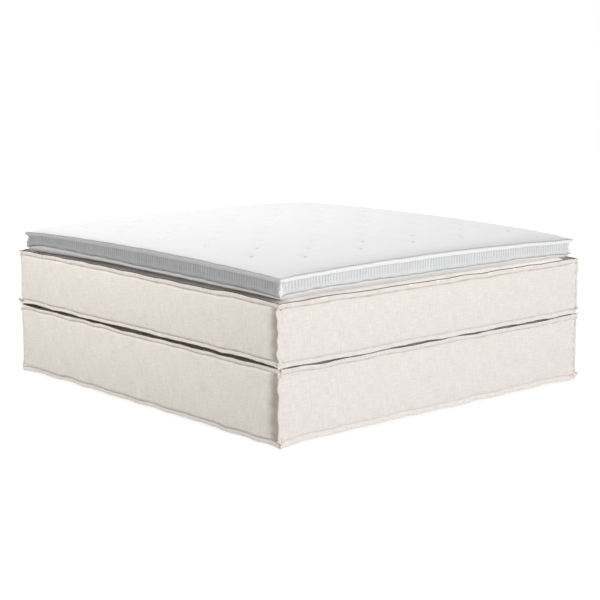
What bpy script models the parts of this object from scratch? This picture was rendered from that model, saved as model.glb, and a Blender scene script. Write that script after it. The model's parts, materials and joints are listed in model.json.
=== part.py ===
"""A box spring bed: a sprung base on low glides, a mattress and a tufted topper, each in a sewn cover.

The layers lie loose on each other and lift off. Metres, +Z up, the floor at z = 0 and the origin
under the middle of the bed. The foot end faces -Y, and left and right are seen from the foot end.
"""

import math

import bmesh
import bpy
from mathutils import Vector

# Overall sizes.
BED_WIDTH = 2.000
BED_LENGTH = 2.100
BASE_HEIGHT = 0.342
MATTRESS_HEIGHT = 0.289
GLIDE_HEIGHT = 0.020

# Gaps between pieces that lie against each other.
SEAT_GAP = 0.0004
SEAM_GAP = 0.0010

# Linen covers: cloth on a thin lining, with flanged seams turned outwards.
CLOTH = 0.003
SEAM_FLANGE = 0.022
FLANGE_TILT = 0.004
CORNER_FLANGE = 0.015
HEM_EAR = 0.012
SEAM_EAR = 0.003
SIDE_BULGE = 0.010
LID_RUN = 0.080
BASE_CROWN = 0.027
MATTRESS_BELLY = 0.027
MATTRESS_CROWN = 0.024
HEM_CLEARANCE = 0.018
SIDE_BULGE_SHARES = (8, 2.4)

# Timber frame of the base.
RAIL_WIDTH = 0.034
RAIL_HEIGHT = 0.095
CORNER_BLOCK = 0.120
SLAT_WIDTH = 0.095
SLAT_THICKNESS = 0.018
SLAT_COUNT = 8
TIMBER_EDGE = 0.002

# Glides and the dust cloth.
GLIDE_RADIUS = 0.030
GLIDE_FOOT_RADIUS = 0.024
GLIDE_RIM = 0.006
GLIDE_INSET = 0.125
MIDDLE_GLIDE_SHARE = 0.5
GLIDE_SIDES = 16
DUST_CLOTH = 0.001
DUST_CLOTH_INSET = 0.016
GLIDE_HOLE_CLEARANCE = 0.003

# Padding and pocket springs.
EDGE_FOAM = 0.060
EDGE_FOAM_RELIEF = 0.006
FOAM_BULGE_SHARE = 0.75
BASE_PAD = 0.030
BASE_FELT = 0.006
COMFORT_TOP = 0.050
COMFORT_BOTTOM = 0.030
PAD_EDGE = 0.008
POCKET_PITCH = 0.065
POCKET_SCALLOP = 0.012
POCKET_POINTS = 3

# Topper: quilted top, ribbed mesh border and a plain underside.
TOPPER_INSET = 0.024
TOPPER_BELLY = 0.035
TOPPER_BORDER = 0.060
TOPPER_ARCH = 0.021
TOPPER_CROWN = 0.026
TOPPER_EDGE_RUN = 0.110
TOPPER_CORNER_FLANGE = 0.005
TOPPER_BULGE = 0.006
TICKING = 0.003
QUILT_EDGE = 0.004
BORDER_TOP_STRIP = 0.016
BORDER_BAND = 0.028
BAND_RECESS = 0.002
BAND_STEP = 0.003
TUFT_PITCH_X = 0.1740
TUFT_PITCH_Y = 0.1725
TUFT_MARGIN = 0.190
TUFT_DEPTH = 0.019
EDGE_STATIONS = (0.050, 0.016)

# Zips along the head side of the mattress cover and of the topper cover.
ZIP_LENGTH_SHARE = 0.78
MATTRESS_ZIP_RISE = 0.013
TOPPER_ZIP_RISE = 0.006
CHAIN_HEIGHT = 0.007
CHAIN_THICKNESS = 0.0016
SLIDER_LENGTH = 0.011
SLIDER_HEIGHT = 0.009
SLIDER_THICKNESS = 0.0030
PULL_LENGTH = 0.022
PULL_WIDTH = 0.005
PULL_THICKNESS = 0.0012
ZIP_GAP = 0.0004

# Places that follow from the sizes.
HALF_WIDTH = BED_WIDTH / 2
HALF_LENGTH = BED_LENGTH / 2
BASE_TOP = GLIDE_HEIGHT + BASE_HEIGHT
MATTRESS_BOTTOM = BASE_TOP + SEAT_GAP
TOPPER_BOTTOM = MATTRESS_BOTTOM + MATTRESS_HEIGHT + SEAT_GAP
INNER_REACH = CLOTH / 2 + SEAT_GAP
LID_REACH = CLOTH + SEAM_GAP
RAIL_TOP = GLIDE_HEIGHT + RAIL_HEIGHT
SLAT_TOP = RAIL_TOP + SEAT_GAP + SLAT_THICKNESS

TOPPER_HALF_X = HALF_WIDTH - TOPPER_INSET
TOPPER_HALF_Y = HALF_LENGTH - TOPPER_INSET
TUFT_COLUMNS = int(2 * (TOPPER_HALF_X - TUFT_MARGIN) / TUFT_PITCH_X) + 1
TUFT_ROWS = int(2 * (TOPPER_HALF_Y - TUFT_MARGIN) / TUFT_PITCH_Y) + 1

SIDES = ("foot", "right", "head", "left")


def material(name, colour, roughness, metallic=0.0):
    """One Principled material."""
    made = bpy.data.materials.new(name)
    made.use_nodes = True
    made.diffuse_color = (*colour, 1.0)
    shader = made.node_tree.nodes["Principled BSDF"]
    shader.inputs["Base Color"].default_value = (*colour, 1.0)
    shader.inputs["Roughness"].default_value = roughness
    shader.inputs["Metallic"].default_value = metallic
    return made


def collection(name):
    made = bpy.data.collections.new(name)
    bpy.context.scene.collection.children.link(made)
    return made


def body_empty(name, height, parts):
    """An empty on the bed's middle axis, which carries the pieces of one layer."""
    empty = bpy.data.objects.new(name, None)
    empty.location = (0, 0, height)
    parts.objects.link(empty)
    return empty


def add_object(name, mesh, finish, body, location=(0, 0, 0), turn=0.0):
    """An object with this mesh, on its layer, placed from the layer's empty."""
    obj = bpy.data.objects.new(name, mesh)
    mesh.materials.append(finish)
    body.users_collection[0].objects.link(obj)
    obj.parent = body
    obj.location = location
    obj.rotation_euler = (0, 0, turn)
    return obj


def mesh_from(bm, name):
    bmesh.ops.recalc_face_normals(bm, faces=bm.faces)
    mesh = bpy.data.meshes.new(name)
    bm.to_mesh(mesh)
    bm.free()
    return mesh


def box(name, size, centre, finish, body, edge):
    """A block with softened edges. Its origin is its centre."""
    bm = bmesh.new()
    bmesh.ops.create_cube(bm, size=1)
    bmesh.ops.scale(bm, vec=Vector(size), verts=bm.verts)
    obj = add_object(name, mesh_from(bm, name), finish, body, centre)
    soften = obj.modifiers.new("soften", "BEVEL")
    soften.width = edge
    soften.segments = 1
    return obj


def shaped_grid(columns, rows, place):
    """A grid of faces whose points place(column, row) sets. Points that meet become one."""
    bm = bmesh.new()
    bmesh.ops.create_grid(bm, x_segments=columns, y_segments=rows, size=1)
    for point in bm.verts:
        column = round((point.co.x + 1) / 2 * columns)
        row = round((point.co.y + 1) / 2 * rows)
        point.co = place(column, row)
    bmesh.ops.remove_doubles(bm, verts=bm.verts, dist=SEAT_GAP / 10)
    return bm


def thicken(obj, thickness):
    """Gives a sheet its thickness, half to each side."""
    shell = obj.modifiers.new("thickness", "SOLIDIFY")
    shell.thickness = thickness
    shell.offset = 0
    shell.use_even_offset = True
    return obj


def eased_shares(count):
    """Shares from 0 to 1 that lie closer together near both ends."""
    return [(1 - math.cos(math.pi * k / count)) / 2 for k in range(count + 1)]


def side_reach(side):
    """Half the length of a side, and its distance from the middle of the bed."""
    along_x = side in ("foot", "head")
    return (HALF_WIDTH, HALF_LENGTH) if along_x else (HALF_LENGTH, HALF_WIDTH)


def side_turn(side):
    return SIDES.index(side) * math.pi / 2


def bulge_at(along, half, share, bulge):
    """How far a side stands out at a place along it and a share of its height."""
    length_power, height_power = SIDE_BULGE_SHARES
    flat = 1 - abs(along / half) ** length_power
    return bulge * flat * (1 - abs(2 * share - 1) ** height_power)


def side_panel(name, side, inset, seams, flanges, rows, shape, finish, body, columns=10):
    """One sewn side of a cover, facing outwards, with its seam flanges.

    seams gives the two seam heights, flanges the widths below and above them and at the corners
    and how far the corners reach past them there, rows the shares of the height with a set-back
    at each, and shape the bulge, arch and thickness.
    """
    half, distance = (reach - inset for reach in side_reach(side))
    below, above, corner, ear_below, ear_above = flanges
    bulge, arch, thickness = shape
    lap = (thickness + SEAM_GAP) / math.sqrt(2)
    stations = [-1 + 2 * share for share in eased_shares(columns)]
    stations = [(-1, corner)] + [(station, 0) for station in stations] + [(1, corner)]
    levels = [(share, back, 0) for share, back in rows]
    if below:
        levels.insert(0, (rows[0][0], 0, -below))
    if above:
        levels.append((rows[-1][0], 0, above))

    def place(column, row):
        station, past_corner = stations[column]
        share, back, past_seam = levels[row]
        along = station * (half - lap)
        low, high = seams
        high += arch * (1 - station**2)
        out = bulge_at(along, half, share, bulge)
        if abs(station) < 1:
            out -= back
        height = low + (high - low) * share + past_seam
        if past_seam:
            out += FLANGE_TILT
        if past_seam and past_corner:
            height += ear_above if past_seam > 0 else -ear_below
        reach = past_corner / math.sqrt(2)
        return (along + math.copysign(reach, station), -distance - out - reach, height)

    bm = shaped_grid(len(stations) - 1, len(levels) - 1, place)
    obj = add_object(name, mesh_from(bm, name), finish, body, turn=side_turn(side))
    return thicken(obj, thickness)


def lid_height(x, y, half_x, half_y, rise):
    """Rise of a lid above its seam, from nothing at the seam to all of it past the run."""
    shares = [min((half - abs(at)) / LID_RUN, 1) for at, half in ((x, half_x), (y, half_y))]
    return rise * math.prod(math.sin(math.pi / 2 * max(share, 0)) for share in shares)


def lid_stations(half, cells):
    """Places across a lid: its seam, one step in the rounded edge, and even steps between."""
    inner = half - LID_RUN
    steps = [-inner + 2 * inner * k / cells for k in range(cells + 1)]
    edge = half - LID_RUN / 2
    return [-half, -edge] + steps + [edge, half]


def lid_panel(name, half_x, half_y, seam, rise, flange, thickness, finish, body, cells=5):
    """A top or bottom panel that domes away from its seam, with a flange (out, up) round it."""
    across = lid_stations(half_x, cells)
    along = lid_stations(half_y, cells)
    flange_out, flange_up = flange
    last_column = len(across) + 1
    last_row = len(along) + 1

    def place(column, row):
        x = across[min(max(column - 1, 0), len(across) - 1)]
        y = along[min(max(row - 1, 0), len(along) - 1)]
        height = seam + lid_height(x, y, half_x, half_y, rise)
        if column in (0, last_column) or row in (0, last_row):
            height += flange_up
            if column <= 1 or column >= last_column - 1:
                x += math.copysign(flange_out, x)
            if row <= 1 or row >= last_row - 1:
                y += math.copysign(flange_out, y)
        return (x, y, height)

    bm = shaped_grid(last_column, last_row, place)
    obj = add_object(name, mesh_from(bm, name), finish, body)
    return thicken(obj, thickness)


def slab_under(name, columns, rows, top, bottom, finish, body, turn=0.0):
    """A solid between the grid that top(column, row) sets and the places bottom(point) gives."""
    bm = shaped_grid(columns, rows, top)
    drawn = bmesh.ops.extrude_face_region(bm, geom=bm.faces[:])
    for item in drawn["geom"]:
        if isinstance(item, bmesh.types.BMVert):
            item.co = bottom(item.co)
    return add_object(name, mesh_from(bm, name), finish, body, turn=turn)


def edge_foam(name, side, low, high, seams, finish, body, cells=(6, 3)):
    """A foam rail behind one side panel, which fills that side's bulge between its seams."""
    half, distance = side_reach(side)
    outer = distance - INNER_REACH
    inner = outer - EDGE_FOAM
    reach = half - INNER_REACH
    if side in ("foot", "head"):
        reach -= EDGE_FOAM + SEAT_GAP

    def face(column, row):
        along = reach * (2 * column / cells[0] - 1)
        height = low + (high - low) * row / cells[1]
        share = (height - seams[0]) / (seams[1] - seams[0])
        out = FOAM_BULGE_SHARE * bulge_at(along, half, share, SIDE_BULGE)
        return (along, -outer - out, height)

    def back(point):
        return (point.x, -inner, point.z)

    return slab_under(name, *cells, face, back, finish, body, turn=side_turn(side))


def pocket_row(half_x, half_y):
    """The scalloped outline of a spring unit: one shallow arc for each pocket round its edge."""
    corners = [(-half_x, -half_y), (half_x, -half_y), (half_x, half_y), (-half_x, half_y)]
    outline = []
    for start, end in zip(corners, corners[1:] + corners[:1]):
        start = Vector((*start, 0))
        run = Vector((*end, 0)) - start
        outwards = Vector((run.y, -run.x, 0)).normalized()
        pockets = max(round(run.length / POCKET_PITCH), 1)
        for step in range(pockets * POCKET_POINTS):
            depth = POCKET_SCALLOP * (1 - math.sin(math.pi * step / POCKET_POINTS % math.pi))
            if step % (pockets * POCKET_POINTS):
                outline.append(start + run * step / (pockets * POCKET_POINTS) - outwards * depth)
            else:
                outline.append(start + (run.normalized() - outwards) * POCKET_SCALLOP)
    return outline


def spring_unit(name, low, high, finish, body):
    """Pocket springs glued side by side, as one block with the pockets' outline."""
    inset = INNER_REACH + EDGE_FOAM + SEAT_GAP
    outline = pocket_row(HALF_WIDTH - inset, HALF_LENGTH - inset)
    curve = bpy.data.curves.new(name, "CURVE")
    curve.dimensions = "2D"
    curve.fill_mode = "BOTH"
    curve.extrude = (high - low) / 2
    spline = curve.splines.new("POLY")
    spline.points.add(len(outline) - 1)
    for point, place in zip(spline.points, outline):
        point.co = (*place, 1)
    spline.use_cyclic_u = True
    return add_object(name, curve, finish, body, (0, 0, (low + high) / 2))


def pad(name, inset, low, high, finish, body):
    """A flat slab of foam or felt."""
    size = (2 * (HALF_WIDTH - inset), 2 * (HALF_LENGTH - inset), high - low)
    edge = min(PAD_EDGE, (high - low) / 3)
    return box(name, size, (0, 0, (low + high) / 2), finish, body, edge)


def glide_places():
    x = HALF_WIDTH - GLIDE_INSET
    y = HALF_LENGTH - GLIDE_INSET
    corners = {
        "foot_left": (-x, -y),
        "foot_right": (x, -y),
        "head_left": (-x, y),
        "head_right": (x, y),
    }
    middle = y * MIDDLE_GLIDE_SHARE
    return corners | {"foot_middle": (0, -middle), "head_middle": (0, middle)}


def timber_frame(finish, body):
    """Four rails, a centre rail and four corner blocks, all as high as the rails."""
    height = (GLIDE_HEIGHT + RAIL_TOP) / 2
    reach_x = HALF_WIDTH - INNER_REACH
    reach_y = HALF_LENGTH - INNER_REACH
    inner_x = reach_x - RAIL_WIDTH
    inner_y = reach_y - RAIL_WIDTH
    side_size = (RAIL_WIDTH, 2 * reach_y, RAIL_HEIGHT)
    end_size = (2 * (inner_x - SEAT_GAP), RAIL_WIDTH, RAIL_HEIGHT)
    centre_size = (RAIL_WIDTH, 2 * (inner_y - SEAT_GAP), RAIL_HEIGHT)
    side_x = reach_x - RAIL_WIDTH / 2
    end_y = reach_y - RAIL_WIDTH / 2
    box("base_rail_left", side_size, (-side_x, 0, height), finish, body, TIMBER_EDGE)
    box("base_rail_right", side_size, (side_x, 0, height), finish, body, TIMBER_EDGE)
    box("base_rail_foot", end_size, (0, -end_y, height), finish, body, TIMBER_EDGE)
    box("base_rail_head", end_size, (0, end_y, height), finish, body, TIMBER_EDGE)
    box("base_rail_centre", centre_size, (0, 0, height), finish, body, TIMBER_EDGE)
    block_size = (CORNER_BLOCK, CORNER_BLOCK, RAIL_HEIGHT)
    block_x = inner_x - SEAT_GAP - CORNER_BLOCK / 2
    block_y = inner_y - SEAT_GAP - CORNER_BLOCK / 2
    for end, sign_y in (("foot", -1), ("head", 1)):
        for hand, sign_x in (("left", -1), ("right", 1)):
            place = (sign_x * block_x, sign_y * block_y, height)
            name = f"base_corner_block_{end}_{hand}"
            box(name, block_size, place, finish, body, TIMBER_EDGE)


def slats(finish, body):
    """Boards across the rails, evenly spaced, which carry the springs."""
    reach_x = HALF_WIDTH - INNER_REACH
    first = HALF_LENGTH - INNER_REACH - SLAT_WIDTH / 2
    size = (2 * reach_x, SLAT_WIDTH, SLAT_THICKNESS)
    height = SLAT_TOP - SLAT_THICKNESS / 2
    for number in range(SLAT_COUNT):
        y = -first + 2 * first * number / (SLAT_COUNT - 1)
        box(f"base_slat_{number + 1}", size, (0, y, height), finish, body, TIMBER_EDGE)


def glides(finish, body):
    """Turned feet screwed up into the frame."""
    height = GLIDE_HEIGHT - SEAT_GAP
    profile = [
        (0, height),
        (GLIDE_RADIUS, height),
        (GLIDE_RADIUS, height - GLIDE_RIM),
        (GLIDE_FOOT_RADIUS, 0),
        (0, 0),
    ]
    for place_name, (x, y) in glide_places().items():
        name = f"base_glide_{place_name}"
        mesh = bpy.data.meshes.new(name)
        points = [(radius, 0, level) for radius, level in profile]
        mesh.from_pydata(points, [(k, k + 1) for k in range(len(points) - 1)], [])
        obj = add_object(name, mesh, finish, body, (x, y, 0))
        turned = obj.modifiers.new("turned", "SCREW")
        turned.steps = GLIDE_SIDES
        turned.render_steps = GLIDE_SIDES
        turned.use_merge_vertices = True
        turned.merge_threshold = SEAT_GAP / 10


def dust_cloth(finish, body, cutters):
    """A thin sheet stapled under the rails, with a hole for each glide."""
    half_x = HALF_WIDTH - DUST_CLOTH_INSET
    half_y = HALF_LENGTH - DUST_CLOTH_INSET
    height = GLIDE_HEIGHT - SEAT_GAP - DUST_CLOTH / 2
    bm = bmesh.new()
    bmesh.ops.create_cube(bm, size=1)
    bmesh.ops.scale(bm, vec=Vector((2 * half_x, 2 * half_y, DUST_CLOTH)), verts=bm.verts)
    name = "base_dust_cloth"
    sheet = add_object(name, mesh_from(bm, name), finish, body, (0, 0, height))
    radius = GLIDE_RADIUS + GLIDE_HOLE_CLEARANCE
    for place_name, (x, y) in glide_places().items():
        bm = bmesh.new()
        bmesh.ops.create_cone(
            bm,
            cap_ends=True,
            segments=GLIDE_SIDES,
            radius1=radius,
            radius2=radius,
            depth=GLIDE_HEIGHT,
        )
        cutter = bpy.data.objects.new(f"hole_{place_name}", mesh_from(bm, place_name))
        cutters.objects.link(cutter)
        cutter.location = (x, y, height)
        cutter.hide_render = True
        cutter.display_type = "WIRE"
        hole = sheet.modifiers.new(f"hole_{place_name}", "BOOLEAN")
        hole.operation = "DIFFERENCE"
        hole.object = cutter
        hole.solver = "EXACT"


def cover_rows(rows=5):
    return [(share, 0) for share in eased_shares(rows)]


def base_layer(finishes, body, cutters):
    """The sprung base, from the glides up."""
    timber_frame(finishes["pine"], body)
    slats(finishes["pine"], body)
    glides(finishes["glide"], body)
    dust_cloth(finishes["dust_cloth"], body, cutters)
    seam = BASE_TOP - BASE_CROWN
    pad_top = BASE_TOP - CLOTH - SEAT_GAP
    felt_top = pad_top - BASE_PAD - SEAT_GAP
    spring_top = felt_top - BASE_FELT - SEAT_GAP
    spring_low = SLAT_TOP + SEAT_GAP
    spring_unit("base_spring_unit", spring_low, spring_top, finishes["pocket_cloth"], body)
    felt_inset = INNER_REACH + EDGE_FOAM + SEAT_GAP
    pad("base_felt_pad", felt_inset, felt_top - BASE_FELT, felt_top, finishes["felt"], body)
    pad("base_foam_pad", LID_RUN, pad_top - BASE_PAD, pad_top, finishes["foam"], body)
    foam_top = seam - EDGE_FOAM_RELIEF
    seams = (HEM_CLEARANCE + SEAM_FLANGE, seam)
    for side in SIDES:
        foam_name = f"base_edge_foam_{side}"
        edge_foam(foam_name, side, spring_low, foam_top, seams, finishes["foam"], body)
        side_panel(
            f"base_cover_{side}",
            side,
            0,
            seams,
            (SEAM_FLANGE, SEAM_FLANGE, CORNER_FLANGE, HEM_EAR, SEAM_EAR),
            cover_rows(),
            (SIDE_BULGE, 0, CLOTH),
            finishes["linen"],
            body,
        )
    lid_panel(
        "base_cover_top",
        HALF_WIDTH - LID_REACH,
        HALF_LENGTH - LID_REACH,
        seam - CLOTH / 2,
        BASE_CROWN,
        (FLANGE_TILT, SEAM_FLANGE),
        CLOTH,
        finishes["linen"],
        body,
    )


def mattress_layer(finishes, body):
    """The mattress. Heights are counted from its underside."""
    low_seam = MATTRESS_BELLY
    high_seam = MATTRESS_HEIGHT - MATTRESS_CROWN
    bottom_low = CLOTH + SEAT_GAP
    core_low = bottom_low + COMFORT_BOTTOM + SEAT_GAP
    top_high = MATTRESS_HEIGHT - CLOTH - SEAT_GAP
    core_high = top_high - COMFORT_TOP - SEAT_GAP
    foam = finishes["foam"]
    linen = finishes["linen"]
    pad("mattress_comfort_bottom", LID_RUN, bottom_low, core_low - SEAT_GAP, foam, body)
    pad("mattress_comfort_top", LID_RUN, core_high + SEAT_GAP, top_high, foam, body)
    spring_unit("mattress_spring_core", core_low, core_high, finishes["pocket_cloth"], body)
    foam_low = low_seam + EDGE_FOAM_RELIEF
    foam_high = high_seam - EDGE_FOAM_RELIEF
    seams = (low_seam, high_seam)
    for side in SIDES:
        edge_foam(f"mattress_edge_foam_{side}", side, foam_low, foam_high, seams, foam, body)
        side_panel(
            f"mattress_cover_{side}",
            side,
            0,
            seams,
            (SEAM_FLANGE, SEAM_FLANGE, CORNER_FLANGE, SEAM_EAR, SEAM_EAR),
            cover_rows(),
            (SIDE_BULGE, 0, CLOTH),
            linen,
            body,
        )
    half_x = HALF_WIDTH - LID_REACH
    half_y = HALF_LENGTH - LID_REACH
    top_seam = high_seam - CLOTH / 2
    bottom_seam = low_seam + CLOTH / 2
    up = (FLANGE_TILT, SEAM_FLANGE)
    down = (FLANGE_TILT, -SEAM_FLANGE)
    name = "mattress_cover_top"
    lid_panel(name, half_x, half_y, top_seam, MATTRESS_CROWN, up, CLOTH, linen, body)
    name = "mattress_cover_bottom"
    lid_panel(name, half_x, half_y, bottom_seam, -MATTRESS_BELLY, down, CLOTH, linen, body)
    span = (low_seam, high_seam, 0)
    shape = (SIDE_BULGE, CLOTH)
    zip_pair("mattress", 0, span, MATTRESS_ZIP_RISE, shape, finishes, body)


def topper_arch(x, y):
    """How much higher the topper's top seam and core lie here than at the corners."""
    share_x = x / TOPPER_HALF_X
    share_y = y / TOPPER_HALF_Y
    return TOPPER_ARCH * (1 - (share_x * share_y) ** 2)


def border_rows():
    """Heights of the border's strips as shares of it, with the mesh band set back."""
    band_high_share = 1 - BORDER_TOP_STRIP / TOPPER_BORDER
    band_low_share = band_high_share - BORDER_BAND / TOPPER_BORDER
    step_share = BAND_STEP / TOPPER_BORDER
    zip_share = (TOPPER_ZIP_RISE + CHAIN_HEIGHT / 2) / TOPPER_BORDER
    return [
        (0, 0),
        (zip_share, 0),
        (band_low_share, 0),
        (band_low_share + step_share, BAND_RECESS),
        (band_high_share - step_share, BAND_RECESS),
        (band_high_share, 0),
        (1, 0),
    ]


def quilt_stations(half, pitch, count):
    """Places across the quilted top: each tuft and the middle between two, then the edge."""
    steps = count - 1
    spread = pitch * steps / 2
    middle = [-spread + pitch * k / 2 for k in range(2 * steps + 1)]
    outer = [spread + pitch / 2] + [half - inset for inset in EDGE_STATIONS] + [half]
    return [-place for place in reversed(outer)] + middle + outer


def tuft_draw(x, y):
    """Share of the tuft depth here: 1 on a tuft, 0 on the puffs between four tufts."""
    column = x / TUFT_PITCH_X + (TUFT_COLUMNS - 1) / 2
    row = y / TUFT_PITCH_Y + (TUFT_ROWS - 1) / 2
    inside_x = -0.5 <= column <= TUFT_COLUMNS - 0.5
    inside_y = -0.5 <= row <= TUFT_ROWS - 0.5
    if not (inside_x and inside_y):
        return 0
    wave = math.cos(math.pi * column) * math.cos(math.pi * row)
    return max(-wave, 0) ** 1.5


def quilt_height(x, y, half_x, half_y, seam):
    """The quilted top's upper face."""
    shares = [min((half - abs(at)) / TOPPER_EDGE_RUN, 1) for at, half in ((x, half_x), (y, half_y))]
    crown = TOPPER_CROWN * math.prod(math.sin(math.pi / 2 * max(share, 0)) for share in shares)
    return seam + topper_arch(x, y) + QUILT_EDGE + crown - TUFT_DEPTH * tuft_draw(x, y)


def quilted_top(name, half_x, half_y, seam, finish, body):
    """The thick quilted top: crowned and drawn down at each tuft, with a plain underside."""
    across = quilt_stations(half_x, TUFT_PITCH_X, TUFT_COLUMNS)
    along = quilt_stations(half_y, TUFT_PITCH_Y, TUFT_ROWS)

    def upper(column, row):
        x = across[column]
        y = along[row]
        return (x, y, quilt_height(x, y, half_x, half_y, seam))

    def lower(point):
        return (point.x, point.y, seam + topper_arch(point.x, point.y))

    bm = shaped_grid(len(across) - 1, len(along) - 1, upper)
    drawn = bmesh.ops.extrude_face_region(bm, geom=bm.faces[:])
    under = [item for item in drawn["geom"] if isinstance(item, bmesh.types.BMVert)]
    for point in under:
        point.co = lower(point.co)
    spare = spare_under_edges(under, across, along)
    bmesh.ops.dissolve_edges(bm, edges=spare, use_verts=True)
    return add_object(name, mesh_from(bm, name), finish, body)


def near(value, places):
    return any(abs(value - place) < SEAT_GAP for place in places)


def spare_under_edges(under, across, along):
    """The underside's edges along every other inner row and column, which it can do without."""
    spare_x = across[1:-1:2]
    spare_y = along[1:-1:2]
    points = set(under)
    spare = set()
    for point in points:
        for edge in point.link_edges:
            other = edge.other_vert(point)
            if other not in points:
                continue
            level_x = abs(point.co.x - other.co.x) < SEAT_GAP and near(point.co.x, spare_x)
            level_y = abs(point.co.y - other.co.y) < SEAT_GAP and near(point.co.y, spare_y)
            if level_x or level_y:
                spare.add(edge)
    return list(spare)


def topper_layer(finishes, body):
    """The topper. Heights are counted from its underside."""
    half_x = TOPPER_HALF_X
    half_y = TOPPER_HALF_Y
    low_seam = TOPPER_BELLY
    high_seam = low_seam + TOPPER_BORDER
    ticking = finishes["ticking"]
    lid_panel(
        "topper_cover_bottom",
        half_x - TICKING,
        half_y - TICKING,
        low_seam - TICKING / 2 - SEAT_GAP,
        TICKING + SEAT_GAP - TOPPER_BELLY,
        (2 * TICKING, 0),
        TICKING,
        ticking,
        body,
    )
    for side in SIDES:
        side_panel(
            f"topper_border_{side}",
            side,
            TOPPER_INSET,
            (low_seam + SEAT_GAP, high_seam - SEAM_GAP),
            (0, 0, TOPPER_CORNER_FLANGE, 0, 0),
            border_rows(),
            (TOPPER_BULGE, TOPPER_ARCH, TICKING),
            finishes["mesh_border"],
            body,
        )
    reach = TICKING / 2
    quilted_top("topper_quilted_top", half_x + reach, half_y + reach, high_seam, ticking, body)
    topper_core("topper_core", half_x, half_y, high_seam, finishes["latex"], body)
    span = (low_seam, high_seam, TOPPER_ARCH)
    shape = (TOPPER_BULGE, TICKING)
    zip_pair("topper", TOPPER_INSET, span, TOPPER_ZIP_RISE, shape, finishes, body)


def topper_core(name, half_x, half_y, high_seam, finish, body, cells=10):
    """The topper's foam slab, which follows the quilted top above it and the belly below it."""
    inset = TICKING / 2 + BAND_RECESS + SEAT_GAP
    lid_x = half_x - TICKING
    lid_y = half_y - TICKING
    across = lid_stations(lid_x, cells)
    along = lid_stations(lid_y, cells)
    across[0], across[-1] = inset - half_x, half_x - inset
    along[0], along[-1] = inset - half_y, half_y - inset

    def upper(column, row):
        x = across[column]
        y = along[row]
        return (x, y, high_seam - SEAM_GAP + topper_arch(x, y))

    def lower(point):
        sunk_share = lid_height(point.x, point.y, lid_x, lid_y, 1)
        climb = (TOPPER_BELLY - TICKING + SEAM_GAP) * (1 - sunk_share)
        return (point.x, point.y, TICKING + SEAT_GAP + climb)

    return slab_under(name, len(across) - 1, len(along) - 1, upper, lower, finish, body)


def zip_pair(layer, inset, span, rise, side_shape, finishes, body):
    """The zip along the head side of a cover: its chain and the slider that runs on it."""
    low, high, arch = span
    bulge, thickness = side_shape
    half, distance = (reach - inset for reach in side_reach("head"))
    reach = half * ZIP_LENGTH_SHARE
    share = rise / (high - low)
    upper_share = (rise + CHAIN_HEIGHT / 2) / (high - low)
    face = distance + thickness / 2 + bulge_at(0, half, upper_share, bulge)
    chain_y = face + ZIP_GAP + CHAIN_THICKNESS / 2
    height = low + rise + arch * share
    chain_size = (2 * reach, CHAIN_THICKNESS, CHAIN_HEIGHT)
    chain_edge = CHAIN_THICKNESS / 4
    place = (0, chain_y, height)
    box(f"{layer}_zip_chain", chain_size, place, finishes["zip_tape"], body, chain_edge)
    slider_y = chain_y + CHAIN_THICKNESS / 2 + ZIP_GAP + SLIDER_THICKNESS / 2
    slider_x = reach - SLIDER_LENGTH
    zip_slider(f"{layer}_zip_slider", (slider_x, slider_y, height), finishes["zip_metal"], body)


def zip_slider(name, place, finish, body):
    """The slider and its pull, which hangs from it, as one piece. Its origin is on its track."""
    bm = bmesh.new()
    bmesh.ops.create_cube(bm, size=1)
    size = Vector((SLIDER_LENGTH, SLIDER_THICKNESS, SLIDER_HEIGHT))
    bmesh.ops.scale(bm, vec=size, verts=bm.verts)
    bm.normal_update()
    hung = [min(bm.faces, key=lambda face: face.normal.z)]
    bmesh.ops.inset_region(bm, faces=hung, thickness=PULL_THICKNESS / 2)
    width = PULL_WIDTH / 2
    depth = PULL_THICKNESS / 2
    for point in hung[0].verts:
        point.co.x = math.copysign(width, point.co.x)
        point.co.y = math.copysign(depth, point.co.y)
    drawn = bmesh.ops.extrude_face_region(bm, geom=hung)
    moved = [item for item in drawn["geom"] if isinstance(item, bmesh.types.BMVert)]
    bmesh.ops.translate(bm, vec=Vector((0, 0, -PULL_LENGTH)), verts=moved)
    bmesh.ops.delete(bm, geom=hung, context="FACES_ONLY")
    return add_object(name, mesh_from(bm, name), finish, body, place)


def clear_scene():
    for obj in list(bpy.data.objects):
        bpy.data.objects.remove(obj)


def build():
    clear_scene()
    parts = collection("box_spring_bed")
    cutters = collection("cutters")
    finishes = {
        "linen": material("linen", (0.80, 0.74, 0.67), 0.9),
        "ticking": material("ticking", (0.90, 0.90, 0.89), 0.85),
        "mesh_border": material("mesh_border", (0.72, 0.73, 0.74), 0.8),
        "foam": material("foam", (0.86, 0.80, 0.55), 0.9),
        "latex": material("latex", (0.90, 0.86, 0.74), 0.8),
        "felt": material("felt", (0.45, 0.45, 0.47), 0.95),
        "pocket_cloth": material("pocket_cloth", (0.82, 0.85, 0.88), 0.9),
        "pine": material("pine", (0.70, 0.48, 0.26), 0.6),
        "glide": material("glide", (0.03, 0.03, 0.03), 0.5),
        "dust_cloth": material("dust_cloth", (0.05, 0.05, 0.055), 0.9),
        "zip_tape": material("zip_tape", (0.78, 0.75, 0.70), 0.6),
        "zip_metal": material("zip_metal", (0.60, 0.60, 0.60), 0.35, 1.0),
    }
    base_layer(finishes, body_empty("base", 0, parts), cutters)
    mattress_layer(finishes, body_empty("mattress", MATTRESS_BOTTOM, parts))
    topper_layer(finishes, body_empty("topper", TOPPER_BOTTOM, parts))


build()
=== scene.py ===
import math

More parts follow.
